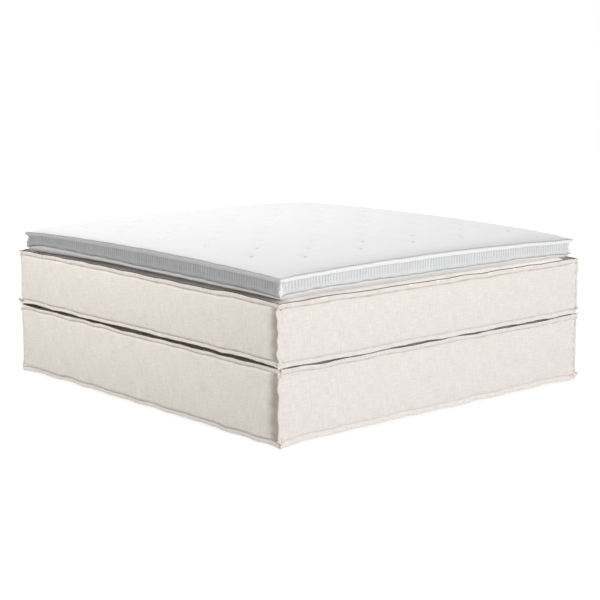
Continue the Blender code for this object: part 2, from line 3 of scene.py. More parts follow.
import bmesh
import bpy
import numpy as np
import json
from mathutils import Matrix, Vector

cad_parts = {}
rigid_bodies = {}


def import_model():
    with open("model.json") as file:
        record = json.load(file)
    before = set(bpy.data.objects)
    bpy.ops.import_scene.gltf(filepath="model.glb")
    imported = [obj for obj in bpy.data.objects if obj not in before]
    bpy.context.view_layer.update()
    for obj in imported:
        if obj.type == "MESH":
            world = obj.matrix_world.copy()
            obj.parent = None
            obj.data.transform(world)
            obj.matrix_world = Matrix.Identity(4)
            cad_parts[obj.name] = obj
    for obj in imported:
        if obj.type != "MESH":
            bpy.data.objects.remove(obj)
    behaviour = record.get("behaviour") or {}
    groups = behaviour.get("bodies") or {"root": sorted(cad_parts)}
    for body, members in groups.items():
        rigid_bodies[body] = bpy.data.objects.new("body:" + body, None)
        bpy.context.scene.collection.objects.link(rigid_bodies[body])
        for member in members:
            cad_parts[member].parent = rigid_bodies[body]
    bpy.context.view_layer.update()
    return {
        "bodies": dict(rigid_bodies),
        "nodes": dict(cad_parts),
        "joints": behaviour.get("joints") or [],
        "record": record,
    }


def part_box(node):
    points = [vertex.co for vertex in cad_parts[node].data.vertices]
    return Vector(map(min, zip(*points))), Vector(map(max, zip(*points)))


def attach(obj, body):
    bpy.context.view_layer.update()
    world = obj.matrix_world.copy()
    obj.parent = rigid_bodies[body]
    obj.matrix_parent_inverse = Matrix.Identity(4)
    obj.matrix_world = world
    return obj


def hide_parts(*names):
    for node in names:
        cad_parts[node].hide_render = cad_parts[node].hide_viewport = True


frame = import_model()
nodes = frame["nodes"]

# Glides.
# Six low feet of moulded polypropylene, screwed up into the frame, set so far in that the cover hides them.
# The CAD discs keep their shape and get a black satin finish.


def linear(code):
    """The linear colour of an sRGB hex value such as "ece6dd"."""
    parts = [int(code[i : i + 2], 16) / 255 for i in (0, 2, 4)]
    return tuple(p / 12.92 if p < 0.04045 else ((p + 0.055) / 1.055) ** 2.4 for p in parts) + (1,)


def add_node(tree, kind, links=None, **settings):
    """One shader node with its settings, its input values and its links."""
    node = tree.nodes.new("ShaderNode" + kind)
    for name, value in settings.items():
        setattr(node, name, value)
    for name, value in (links or {}).items():
        if isinstance(value, bpy.types.NodeSocket):
            tree.links.new(value, node.inputs[name])
        else:
            node.inputs[name].default_value = value
    return node


def finish_named(name, roughness, sheen=0.0, metallic=0.0):
    """A new material with an empty tree but for its shader, whose constants sit on its own sockets."""
    material = bpy.data.materials.new(name)
    material.use_nodes = True
    shader = material.node_tree.nodes["Principled BSDF"]
    shader.inputs["Roughness"].default_value = roughness
    shader.inputs["IOR"].default_value = 1.5
    shader.inputs["Sheen Weight"].default_value = sheen
    shader.inputs["Metallic"].default_value = metallic
    return material, material.node_tree, shader


def colour_between(tree, shader, dark, light, amount):
    """The shader's base colour runs from one hex value to the other as amount goes from 0 to 1."""
    mix = add_node(tree, "Mix", data_type="RGBA")
    tree.links.new(amount, mix.inputs["Factor"])
    mix.inputs[6].default_value = linear(dark)
    mix.inputs[7].default_value = linear(light)
    tree.links.new(mix.outputs[2], shader.inputs["Base Color"])


def raised(tree, shader, height, depth):
    """The shader's surface stands up by depth, in metres, where height is 1."""
    bump = add_node(tree, "Bump", {"Height": height, "Distance": depth})
    tree.links.new(bump.outputs["Normal"], shader.inputs["Normal"])


def grained(name, roughness, scale, detail, dark, light, depth, **more):
    """A finish whose colour and relief both follow one fine grain."""
    material, tree, shader = finish_named(name, roughness, **more)
    place = add_node(tree, "TexCoord").outputs["Object"]
    grain = add_node(tree, "TexNoise", {"Vector": place, "Scale": scale, "Detail": detail}).outputs["Fac"]
    colour_between(tree, shader, dark, light, grain)
    raised(tree, shader, grain, depth)
    return material


def dressed(node, finish):
    """Gives a CAD piece that keeps its mesh its finish."""
    nodes[node].data.materials.clear()
    nodes[node].data.materials.append(finish)


# Moulded polypropylene: near black, with the fine spark texture of the tool, so it shines softly.
glide_black = grained("polypropylene moulded black", 0.42, 900.0, 2.0, "151516", "232325", 0.0001)

for name in [n for n in nodes if n.startswith("base_glide_")]:
    dressed(name, glide_black)

# Timber frame.
# Five planed pine rails and four corner blocks, glued and screwed, with eight slats stapled across them.
# The CAD pieces keep their shape; the grain of each one runs along its length.


def planed_pine(name, stretch):
    """Planed pine: pale sapwood with darker late wood in long lines, and a low satin from the planer."""
    material, tree, shader = finish_named(name, 0.55)
    place = add_node(tree, "TexCoord").outputs["Object"]
    along = add_node(tree, "Mapping", {"Vector": place, "Scale": stretch}).outputs["Vector"]
    drift = add_node(tree, "TexNoise", {"Vector": along, "Scale": 3.0, "Detail": 3.0}).outputs["Fac"]
    wandering = {"Vector": along, "Scale": 9.0, "Distortion": 7.0, "Detail": 3.0, "Detail Scale": 1.5}
    rings = add_node(tree, "TexWave", wandering, bands_direction="DIAGONAL").outputs["Fac"]
    share = add_node(tree, "Math", {0: rings, 1: drift}, operation="MULTIPLY").outputs[0]
    colour_between(tree, shader, "e3c08e", "b98550", share)
    raised(tree, shader, rings, 0.0002)
    return material


# Growth rings are about 5 mm apart across the board and hardly change along it.
pine_across = planed_pine("pine planed, grain along x", (0.8, 14.0, 14.0))
pine_along = planed_pine("pine planed, grain along y", (14.0, 0.8, 14.0))
pine_upright = planed_pine("pine planed, grain along z", (14.0, 14.0, 0.8))
for name in [n for n in nodes if n.startswith(("base_rail_", "base_slat_", "base_corner_"))]:
    low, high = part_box(name)
    size = high - low
    board = pine_across if size.x > size.y * 1.5 else pine_along
    dressed(name, pine_upright if "corner" in name else board)

# Dust cloth.
# A black spunbond nonwoven, stapled under the frame round its edge, with a hole round each glide.
# It sags a few millimetres between the rails that hold it.

WEAVE_MAP = "cloth"
SEAM_MAP = "seam"
DUST_CLOTH = 0.0004
DUST_CLOTH_SAG = 0.0015
DUST_CELLS = 60


def grid_faces(rows, columns, keep=None):
    """The four corners of each cell of a grid, leaving out those that keep says no to."""
    index = np.arange(rows * columns).reshape(rows, columns)
    corners = np.stack([index[:-1, :-1], index[:-1, 1:], index[1:, 1:], index[1:, :-1]], axis=-1)
    corners = corners.reshape(-1, 4)
    return corners if keep is None else corners[keep.reshape(-1)]


def mesh_of(name, points, faces, flat=None, to_seam=None):
    """A smooth object from points and four-sided faces, with the map of its flat cut in metres."""
    mesh = bpy.data.meshes.new(name)
    mesh.vertices.add(len(points))
    mesh.vertices.foreach_set("co", np.asarray(points, np.float32).reshape(-1))
    mesh.loops.add(faces.size)
    mesh.loops.foreach_set("vertex_index", faces.reshape(-1).astype(np.int32))
    mesh.polygons.add(len(faces))
    mesh.polygons.foreach_set("loop_start", np.arange(0, faces.size, 4, dtype=np.int32))
    mesh.polygons.foreach_set("use_smooth", np.ones(len(faces), bool))
    mesh.update(calc_edges=True)
    if flat is not None:
        layer = mesh.uv_layers.new(name=WEAVE_MAP)
        layer.data.foreach_set("uv", np.asarray(flat, np.float32)[faces.reshape(-1)].reshape(-1))
    if to_seam is not None:
        distance = mesh.attributes.new(SEAM_MAP, "FLOAT", "POINT")
        distance.data.foreach_set("value", np.asarray(to_seam, np.float32).reshape(-1))
    mesh.validate()
    piece = bpy.data.objects.new(name, mesh)
    bpy.context.scene.collection.objects.link(piece)
    return piece


def cloth_sheet(name, places, flat, finish, thickness, keep=None, to_seam=None):
    """A sheet of cloth on a grid of places, whose thickness goes to the inner side."""
    rows, columns = places.shape[:2]
    faces = grid_faces(rows, columns, keep)
    piece = mesh_of(name, places.reshape(-1, 3), faces, flat.reshape(-1, 2), to_seam)
    if keep is not None:
        used = np.zeros(rows * columns, bool)
        used[faces.reshape(-1)] = True
        drop_points(piece, ~used)
    piece.data.materials.append(finish)
    ply = piece.modifiers.new("ply", "SOLIDIFY")
    ply.thickness = thickness
    ply.offset = -1
    return piece


def drop_points(piece, dropped):
    """Takes away the points that no face uses."""
    bm = bmesh.new()
    bm.from_mesh(piece.data)
    bm.verts.ensure_lookup_table()
    bmesh.ops.delete(bm, geom=[bm.verts[i] for i in np.flatnonzero(dropped)], context="VERTS")
    bm.to_mesh(piece.data)
    bm.free()


def second_finish(piece, finish, cells):
    """Gives the cells of a sheet that are marked a second finish."""
    piece.data.materials.append(finish)
    piece.data.polygons.foreach_set("material_index", np.asarray(cells, np.int32))


def settled(piece, node, body):
    """Hides the CAD node that a piece stands for and makes the piece ride on its body."""
    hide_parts(node)
    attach(piece, body)


# Spunbond polypropylene: a felt of fine black fibres, pressed with dots 1.5 mm apart.
spunbond, tree, shader = finish_named("polypropylene spunbond black", 0.8, sheen=0.2)
flat_place = add_node(tree, "UVMap", uv_map=WEAVE_MAP).outputs["UV"]
dots = add_node(tree, "TexVoronoi", {"Vector": flat_place, "Scale": 660.0, "Randomness": 0.1})
fibres = add_node(tree, "TexNoise", {"Vector": flat_place, "Scale": 1400.0, "Detail": 4.0})
colour_between(tree, shader, "111112", "2a2a2c", fibres.outputs["Fac"])
raised(tree, shader, dots.outputs["Distance"], 0.0002)

low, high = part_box("base_dust_cloth")
xs = np.linspace(low.x, high.x, DUST_CELLS)
ys = np.linspace(low.y, high.y, DUST_CELLS)
grid_x, grid_y = np.meshgrid(xs, ys)
bays = np.abs(np.sin(np.pi * grid_x / high.x)) * np.sqrt(np.clip(1 - (grid_y / high.y) ** 2, 0, 1))
glide_boxes = [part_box(n) for n in nodes if n.startswith("base_glide_")]
centre_x = (grid_x[:-1, :-1] + grid_x[1:, 1:]) / 2
centre_y = (grid_y[:-1, :-1] + grid_y[1:, 1:]) / 2
keep = np.ones(centre_x.shape, bool)
for glide_low, glide_high in glide_boxes:
    middle = (glide_low + glide_high) / 2
    reach = glide_high.x - middle.x + (high.x - low.x) / DUST_CELLS
    keep &= np.maximum(np.abs(centre_x - middle.x), np.abs(centre_y - middle.y)) > reach
places = np.stack([grid_x, -grid_y, high.z - (high.z - low.z) * 0.5 - DUST_CLOTH_SAG * bays], axis=-1)
flat = np.stack([grid_x, grid_y], axis=-1)
dust_cloth = cloth_sheet("dust_cloth", places, flat, spunbond, DUST_CLOTH, keep)
settled(dust_cloth, "base_dust_cloth", "base")

# Springs, felt and foam of the base.
# Barrel springs, each sewn in its own nonwoven pocket and glued in rows, stand between four foam rails;
# a felt pad spreads the load over them and a foam pad makes the top soft.

POCKET = 0.065
POCKET_CELLS = 4
POCKET_DOME = 0.009
POCKET_NECK = 0.010
# The foam is cut this far inside the seams of the cover, so that the stitched grooves have room.
FOAM_X = 0.9925
FOAM_Y = 1.0425


def closed_block(name, top, bottom, finish, mapped):
    """A block between two grids of places, with a wall all round."""
    rows, columns = top.shape[:2]
    count = rows * columns
    faces = grid_faces(rows, columns)
    index = np.arange(count).reshape(rows, columns)
    ring = np.concatenate([index[0, :-1], index[:-1, -1], index[-1, :0:-1], index[:0:-1, 0]])
    after = np.roll(ring, -1)
    walls = np.stack([ring, ring + count, after + count, after], axis=-1)
    points = np.concatenate([top.reshape(-1, 3), bottom.reshape(-1, 3)])
    all_faces = np.concatenate([faces, faces[:, ::-1] + count, walls])
    piece = mesh_of(name, points, all_faces, points[:, :2] if mapped else None)
    piece.data.materials.append(finish)
    return piece


def pocket_springs(name, node, body):
    """One block of pocket springs: a domed pillow over each spring and a scalloped outline."""
    low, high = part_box(node)
    counts = [max(2, round((high[i] - low[i]) / POCKET)) for i in (0, 1)]
    along = [np.linspace(low[i], high[i], counts[i] * POCKET_CELLS + 1) for i in (0, 1)]
    waves = [np.abs(np.sin(np.pi * np.arange(len(a)) / POCKET_CELLS)) for a in along]
    grid_x, grid_y = np.meshgrid(along[0], along[1])
    wave_x, wave_y = np.meshgrid(waves[0], waves[1])
    dome = POCKET_DOME * (1 - np.sqrt(wave_x * wave_y))
    middle = (low + high) / 2
    reach = (high - low) / 2
    edge_x = np.abs(grid_x - middle.x) > reach.x - 1e-6
    edge_y = np.abs(grid_y - middle.y) > reach.y - 1e-6
    neck_x = np.where(edge_x, POCKET_NECK * (1 - wave_y), 0) * np.sign(grid_x - middle.x)
    neck_y = np.where(edge_y, POCKET_NECK * (1 - wave_x), 0) * np.sign(grid_y - middle.y)
    top = np.stack([grid_x - neck_x, grid_y - neck_y, high.z - dome], axis=-1)
    bottom = top.copy()
    bottom[..., 2] = low.z + dome
    piece = closed_block(name, top, bottom, pocket_cloth, mapped=True)
    settled(piece, node, body)


def foam_block(name, node, finish, body):
    """A cut foam or felt piece: the CAD form with its edges eased and its faces uneven by a hair."""
    piece = bpy.data.objects.new(name, nodes[node].data.copy())
    bpy.context.scene.collection.objects.link(piece)
    for vertex in piece.data.vertices:
        vertex.co.x = max(-FOAM_X, min(FOAM_X, vertex.co.x))
        vertex.co.y = max(-FOAM_Y, min(FOAM_Y, vertex.co.y))
    piece.data.materials.clear()
    piece.data.materials.append(finish)
    edge = piece.modifiers.new("eased edge", "BEVEL")
    edge.width = 0.003
    edge.segments = 2
    edge.limit_method = "ANGLE"
    cells = piece.modifiers.new("cells", "SUBSURF")
    cells.subdivision_type = "SIMPLE"
    cells.levels = cells.render_levels = 1
    cut_face = piece.modifiers.new("cut face", "DISPLACE")
    cut_face.texture = cut_grain
    cut_face.texture_coords = "GLOBAL"
    cut_face.strength = 0.0006
    cut_face.mid_level = 1.0
    settled(piece, node, body)


# Spunbond polyester of the pockets: white, thin and slightly crinkled.
pocket_cloth = grained("polyester spunbond white", 0.75, 160.0, 4.0, "d3dade", "e9eef0", 0.0008, sheen=0.2)

# Polyurethane foam: cream, with open cells a little under a millimetre wide that make it quite matt.
foam_cream, tree, shader = finish_named("polyurethane foam cut cream", 0.95)
place = add_node(tree, "TexCoord").outputs["Object"]
cells = add_node(tree, "TexVoronoi", {"Vector": place, "Scale": 1200.0}).outputs["Distance"]
shade = add_node(tree, "TexNoise", {"Vector": place, "Scale": 25.0, "Detail": 3.0}).outputs["Fac"]
colour_between(tree, shader, "e2d7a9", "f0e8c6", shade)
raised(tree, shader, cells, 0.0004)

# Needle felt from reclaimed textile fibre: grey with flecks of every colour, pressed flat.
felt_grey, tree, shader = finish_named("reclaimed fibre felt needled", 0.95, sheen=0.3)
place = add_node(tree, "TexCoord").outputs["Object"]
flecks = add_node(tree, "TexVoronoi", {"Vector": place, "Scale": 260.0}, feature="SMOOTH_F1")
haze = add_node(tree, "TexNoise", {"Vector": place, "Scale": 400.0, "Detail": 5.0}).outputs["Fac"]
colour_between(tree, shader, "6c6c70", "a3a2a4", haze)
raised(tree, shader, flecks.outputs["Distance"], 0.0008)

cut_grain = bpy.data.textures.new("cut grain", type="CLOUDS")
cut_grain.noise_scale = 0.04
pocket_springs("base_springs", "base_spring_unit", "base")
foam_block("base_felt", "base_felt_pad", felt_grey, "base")
foam_block("base_pad", "base_foam_pad", foam_cream, "base")
for side in ("foot", "right", "head", "left"):
    foam_block(f"base_foam_{side}", f"base_edge_foam_{side}", foam_cream, "base")

# Base cover.
# Four linen panels and a top panel, sewn with their seam allowances outwards: every edge of the box
# carries a flange of two plies, about 20 mm wide, with a stitched groove beside it, also down the corners.

HALF_X = 1.000
HALF_Y = 1.050
PLY = 0.0017
PLY_GAP = 0.0003
FLANGE = 0.0215
FLANGE_OUT = 0.0062
FLANGE_WAVE = 0.0026
FLANGE_STEPS = np.array((0.0025, 0.0055, 0.009, 0.013, 0.017, 0.020, 0.0215)) / FLANGE
CORNER_FLANGE = 0.0190
CORNER_SWAY = 0.0042
GROOVE_DEPTH = 0.0075
GROOVE_WIDTH = 0.0062
PANEL_CELL = 0.0068
CLOTH_CELL = 0.0135
CLOTH_STEPS = 20
BELLY_MOST = 0.0080
BELLY_LEAST = -0.0025
SLIP_MOST = 0.006
OFF_FLOOR = 0.0008
SPARE_CLOTH = 0.018
PRESSURE = 5.0
OVERLOCK = 0.0036
OVERLOCK_STEP = 1 + OVERLOCK / FLANGE
# Where cloth is pushed about: how far round a point, how much and in waves how long.
DRIFT = (np.inf, 0.0014, 0.17)
KNOT = (0.026, 0.0064, 0.022)
EAR = (0.015, 0.0165, 0.026)
# Small folds that run out from a seam: how deep they are, where they fade and where they begin.
GATHERS = (0.0019, 0.026, 0.004)
CREASES = (0.0030, 0.042, 0.006)
FOOT_CREASE = 0.0060
# The shortest and longest wave of the gathers (eight waves), of the folds at a corner and of the flanges,
# whose two plies have to sway alike.
GATHER_WAVES = (0.018, 0.12, 8)
CREASE_WAVES = (0.015, 0.07)
SWAY_WAVES = (0.06, 0.4)
# How much a seam's height and a flange's width wander, and in waves how long.
SEAM_WANDERS = 0.0022
SEAM_WAVES = (0.25, 1.4)
WIDTH_WANDERS = 0.0014
WIDTH_WAVES = (0.12, 0.8)
# At the foot's left corner: how far the foot panel's groove and its painted shade line lie beyond its end,
# how far the left panel turns in, and how slowly the painted shade on its cloth lightens after the darkest
# part.
GROOVE_BEYOND = 0.02
SHADE_LINE_BEYOND = 0.009
TURNED_IN = 0.042
SHADE_LIGHTENING = 0.13
SIDE_BLEND = 0.02
LID_CELL = 0.045
LID_RUN_X = 0.098
LID_RUN_Y = 0.062
ZIP_FOLD = 0.0085
ZIP_DEPTH = 0.0020
SIDES = ("foot", "right", "head", "left")


def side_frame(side, half_x=HALF_X, half_y=HALF_Y):
    """The way out of a side, the way along it, the distance of its face and its half length."""
    turn = SIDES.index(side) * math.pi / 2
    out = np.array([round(math.sin(turn)), -round(math.cos(turn)), 0.0])
    along = np.array([-out[1], out[0], 0.0])
    reach, half = (half_x, half_y) if side in ("left", "right") else (half_y, half_x)
    return out, along, reach, half


def uneven(place, seed, shortest, longest, terms=6):
    """A slow unevenness from about -1 to 1 along a line: a few waves of unlike length."""
    random = np.random.default_rng(seed)
    total, weight = np.zeros_like(place), 0.0
    for length in np.geomspace(shortest, longest, terms):
        share = random.uniform(0.5, 1.0)
        turns = 2 * np.pi * place / (length * random.uniform(0.85, 1.15))
        total += share * np.sin(turns + random.uniform(0, 7))
        weight += share**2
    return total / math.sqrt(weight) * 0.8


def stations(low, high, cell, close):
    """Places along a line that lie close together at both ends, as far apart as cell between them."""
    first = low + np.asarray(close)
    last = high - np.asarray(close)[::-1]
    count = max(2, int(round((last[0] - first[-1]) / cell)) + 1)
    return np.concatenate([first[:-1], np.linspace(first[-1], last[0], count), last[1:]])


def spline_weights(places, count):
    """Rows of weights that read a smooth curve through count even knots at places among them."""
    places = np.clip(places, 0, count - 1)
    start = np.minimum(places.astype(int), count - 2)
    t = places - start
    weights = np.zeros((len(places), count))
    before, first = -0.5 * t + t**2 - 0.5 * t**3, 1 - 2.5 * t**2 + 1.5 * t**3
    second, after = 0.5 * t + 2 * t**2 - 1.5 * t**3, -0.5 * t**2 + 0.5 * t**3
    for step, term in zip((-1, 0, 1, 2), (before, first, second, after)):
        np.add.at(weights, (np.arange(len(places)), np.clip(start + step, 0, count - 1)), term)
    return weights


def blown(places, pinned):
    """Fills a pinned grid of cloth from behind in a short simulation and gives where its points go."""
    rows, columns = places.shape[:2]
    piece = mesh_of("cloth under test", places.reshape(-1, 3), grid_faces(rows, columns))
    group = piece.vertex_groups.new(name="sewn")
    group.add([int(i) for i in np.flatnonzero(pinned.reshape(-1))], 1.0, "REPLACE")
    cloth = piece.modifiers.new("cloth", "CLOTH").settings
    cloth.vertex_group_mass = "sewn"
    cloth.quality = 6
    cloth.mass = 0.25
    cloth.tension_stiffness = cloth.compression_stiffness = 25
    cloth.shear_stiffness = 8
    cloth.bending_stiffness = 0.35
    cloth.air_damping = 6
    cloth.shrink_min = -SPARE_CLOTH
    cloth.use_pressure = True
    cloth.uniform_pressure_force = PRESSURE
    cloth.effector_weights.gravity = 0
    for step in range(1, CLOTH_STEPS + 1):
        bpy.context.scene.frame_set(step)
    shape = piece.evaluated_get(bpy.context.evaluated_depsgraph_get())
    found = np.zeros(rows * columns * 3, np.float32)
    shape.data.vertices.foreach_get("co", found)
    bpy.context.scene.frame_set(1)
    mesh = piece.data
    bpy.data.objects.remove(piece)
    bpy.data.meshes.remove(mesh)
    return found.reshape(rows, columns, 3).astype(float)


def near_corner(s, half, reach):
    """1 at either end of a side, falling off over reach."""
    return np.exp(-(half - np.abs(s)) / reach)


def bell(place, middle, width):
    """1 at middle, falling off like a bell over width."""
    return np.exp(-(((place - middle) / width) ** 2))


def over_sides(x, y, frame, inset, lines):
    """What is measured along each side, blended over the rectangle: a side counts most near itself."""
    sums = total = 0
    for side in SIDES:
        out, along, reach, _ = frame(side)
        weight = np.exp(-(reach - inset - (x * out[0] + y * out[1])) / SIDE_BLEND)
        sums = sums + weight * np.stack(lines(side, x * along[0] + y * along[1]))
        total = total + weight
    return sums / total


def flange_lean(share, wave):
    """How far out a flange stands at a share of its width: soon out of the groove, then nearly upright."""
    return FLANGE_OUT * (1 - bell(share, 0, 0.24)) + FLANGE_WAVE * wave * share


def bunched(place, centres, reach, amount, length, seed):
    """Pushes cloth about near some points, by its place alone, so that sewn panels stay together."""
    random = np.random.default_rng(seed)
    push = np.zeros_like(place)
    for _ in range(8):
        way, turn = random.normal(size=(2, 3))
        turn *= 2 * np.pi / (length * random.uniform(0.7, 1.5)) / np.linalg.norm(turn)
        push += way / np.linalg.norm(way) * np.sin(place @ turn + random.uniform(0, 7))[..., None]
    nearest = np.min([np.linalg.norm(place - centre, axis=-1) for centre in centres], axis=0)
    return place + push * (amount / 2 * bell(nearest, 0, reach))[..., None]


def corner_points(half_x, half_y, heights):
    """Points at the four corners of a rectangle, at each of some heights."""
    return [np.array([half_x * x, half_y * y, z]) for x in (-1, 1) for y in (-1, 1) for z in heights]


def by_side(*values):
    """One value for each side, in the order of the sides."""
    return dict(zip(SIDES, values))


class Box:
    """The sewn lines of one linen box.

    low and high are its seams, which lift and tilt move on each side; low_flange, high_flange and tips are
    the widths of the flanges and of their corners. A side in tucked holds its low flange in, slack
    moves the painted shade at a seam away from it, shade is how far from the turned-in corner the painted
    shade stays darkest, and droop lowers the low corners.
    pinch draws the upright seams in; turn, spread and wobble say how the flange at the end of a side stands,
    how wide it is and how it sways.
    """

    def __init__(self, **lines):
        vars(self).update(lines)

    def seam(self, side, s, level):
        """Height of the low (0) or high (1) seam of a side; both sides meet at each corner."""
        half = side_frame(side)[3]
        own = self.lift[side][level]
        before, after = SIDES[SIDES.index(side) - 1], SIDES[(SIDES.index(side) + 1) % 4]
        ends = [(own + self.lift[other][level]) / 2 for other in (before, after)]
        share = 1 - near_corner(s, half, 0.07)
        wave = SEAM_WANDERS * uneven(s, self.seed + 7 * SIDES.index(side) + level, *SEAM_WAVES)
        own = own + self.tilt.get(side, (0.0, 0.0))[level] * s / half
        height = np.where(s < 0, ends[0], ends[1]) * (1 - share) + (own + wave) * share
        base = self.high if level else self.low
        drop = 0 if level else self.droop * 0.5 * near_corner(s, half, 0.10)
        return base + height - drop

    def sewn_in(self, place):
        """Bunches the cloth up where three seams meet, and more so at the tips of the three flanges."""
        knots = corner_points(HALF_X, HALF_Y, (self.low, self.high))
        reach = CORNER_FLANGE * 0.5
        ears = corner_points(HALF_X + reach, HALF_Y + reach, (self.low - reach, self.high + reach))
        place = bunched(place, [np.zeros(3)], *DRIFT, self.seed + 91)
        place = bunched(place, knots, *KNOT, self.seed + 92)
        return bunched(place, ears, *EAR, self.seed + 93)

    def flange_edge(self, side, s, level):
        """How far the flange stands beyond its seam."""
        half = side_frame(side)[3]
        width = (self.high_flange if level else self.low_flange)[side]
        wave = WIDTH_WANDERS * uneven(s, self.seed + 31 + 5 * SIDES.index(side) + level, *WIDTH_WAVES)
        share = 1 - near_corner(s, half, 0.05)
        corner = self.tips[level]
        drop = 0 if level else self.droop * 0.5 * near_corner(s, half, 0.08)
        return (width + wave) * share + corner * (1 - share) + drop

    def held(self, side, s, level):
        """How freely a flange leans out: on a tucked side the low one is held in, but for its ends."""
        if level or side not in self.tucked:
            return np.ones_like(s)
        return 0.25 + 0.75 * near_corner(s, side_frame(side)[3], 0.05)


def belly_share(s, half, share):
    """How full a panel is at a place: most in the middle, nothing at its sewn edges."""
    return (1 - np.abs(s / half) ** 8) * (1 - np.abs(2 * share - 1) ** 2.4)


def panel_belly(box, side, seed):
    """The filled face of one side panel, simulated between its seams on a coarse grid."""
    half = side_frame(side)[3]
    columns = int(round(2 * half / CLOTH_CELL)) + 1
    rows = int(round((box.high - box.low) / CLOTH_CELL)) + 1
    s, share = np.meshgrid(np.linspace(-half, half, columns), np.linspace(0, 1, rows))
    start = BELLY_MOST * 0.5 * belly_share(s, half, share)
    start += 0.0006 * uneven(s * 3 + share, seed, 0.2, 1.5) * belly_share(s, half, share)
    flat = np.stack([s, start, share * (box.high - box.low)], axis=-1)
    upright = np.stack([s, -start, flat[..., 2]], axis=-1)
    pinned = np.zeros((rows, columns), bool)
    pinned[[0, -1], :] = True
    pinned[:, [0, -1]] = True
    found = blown(upright, pinned)
    moved = found - upright
    moved[..., 1] = np.clip(-found[..., 1], BELLY_LEAST, None)
    most = np.percentile(moved[..., 1], 97)
    moved[..., 1] *= min(1.0, BELLY_MOST / most)
    moved[..., [0, 2]] = np.clip(moved[..., [0, 2]], -SLIP_MOST, SLIP_MOST)
    return moved


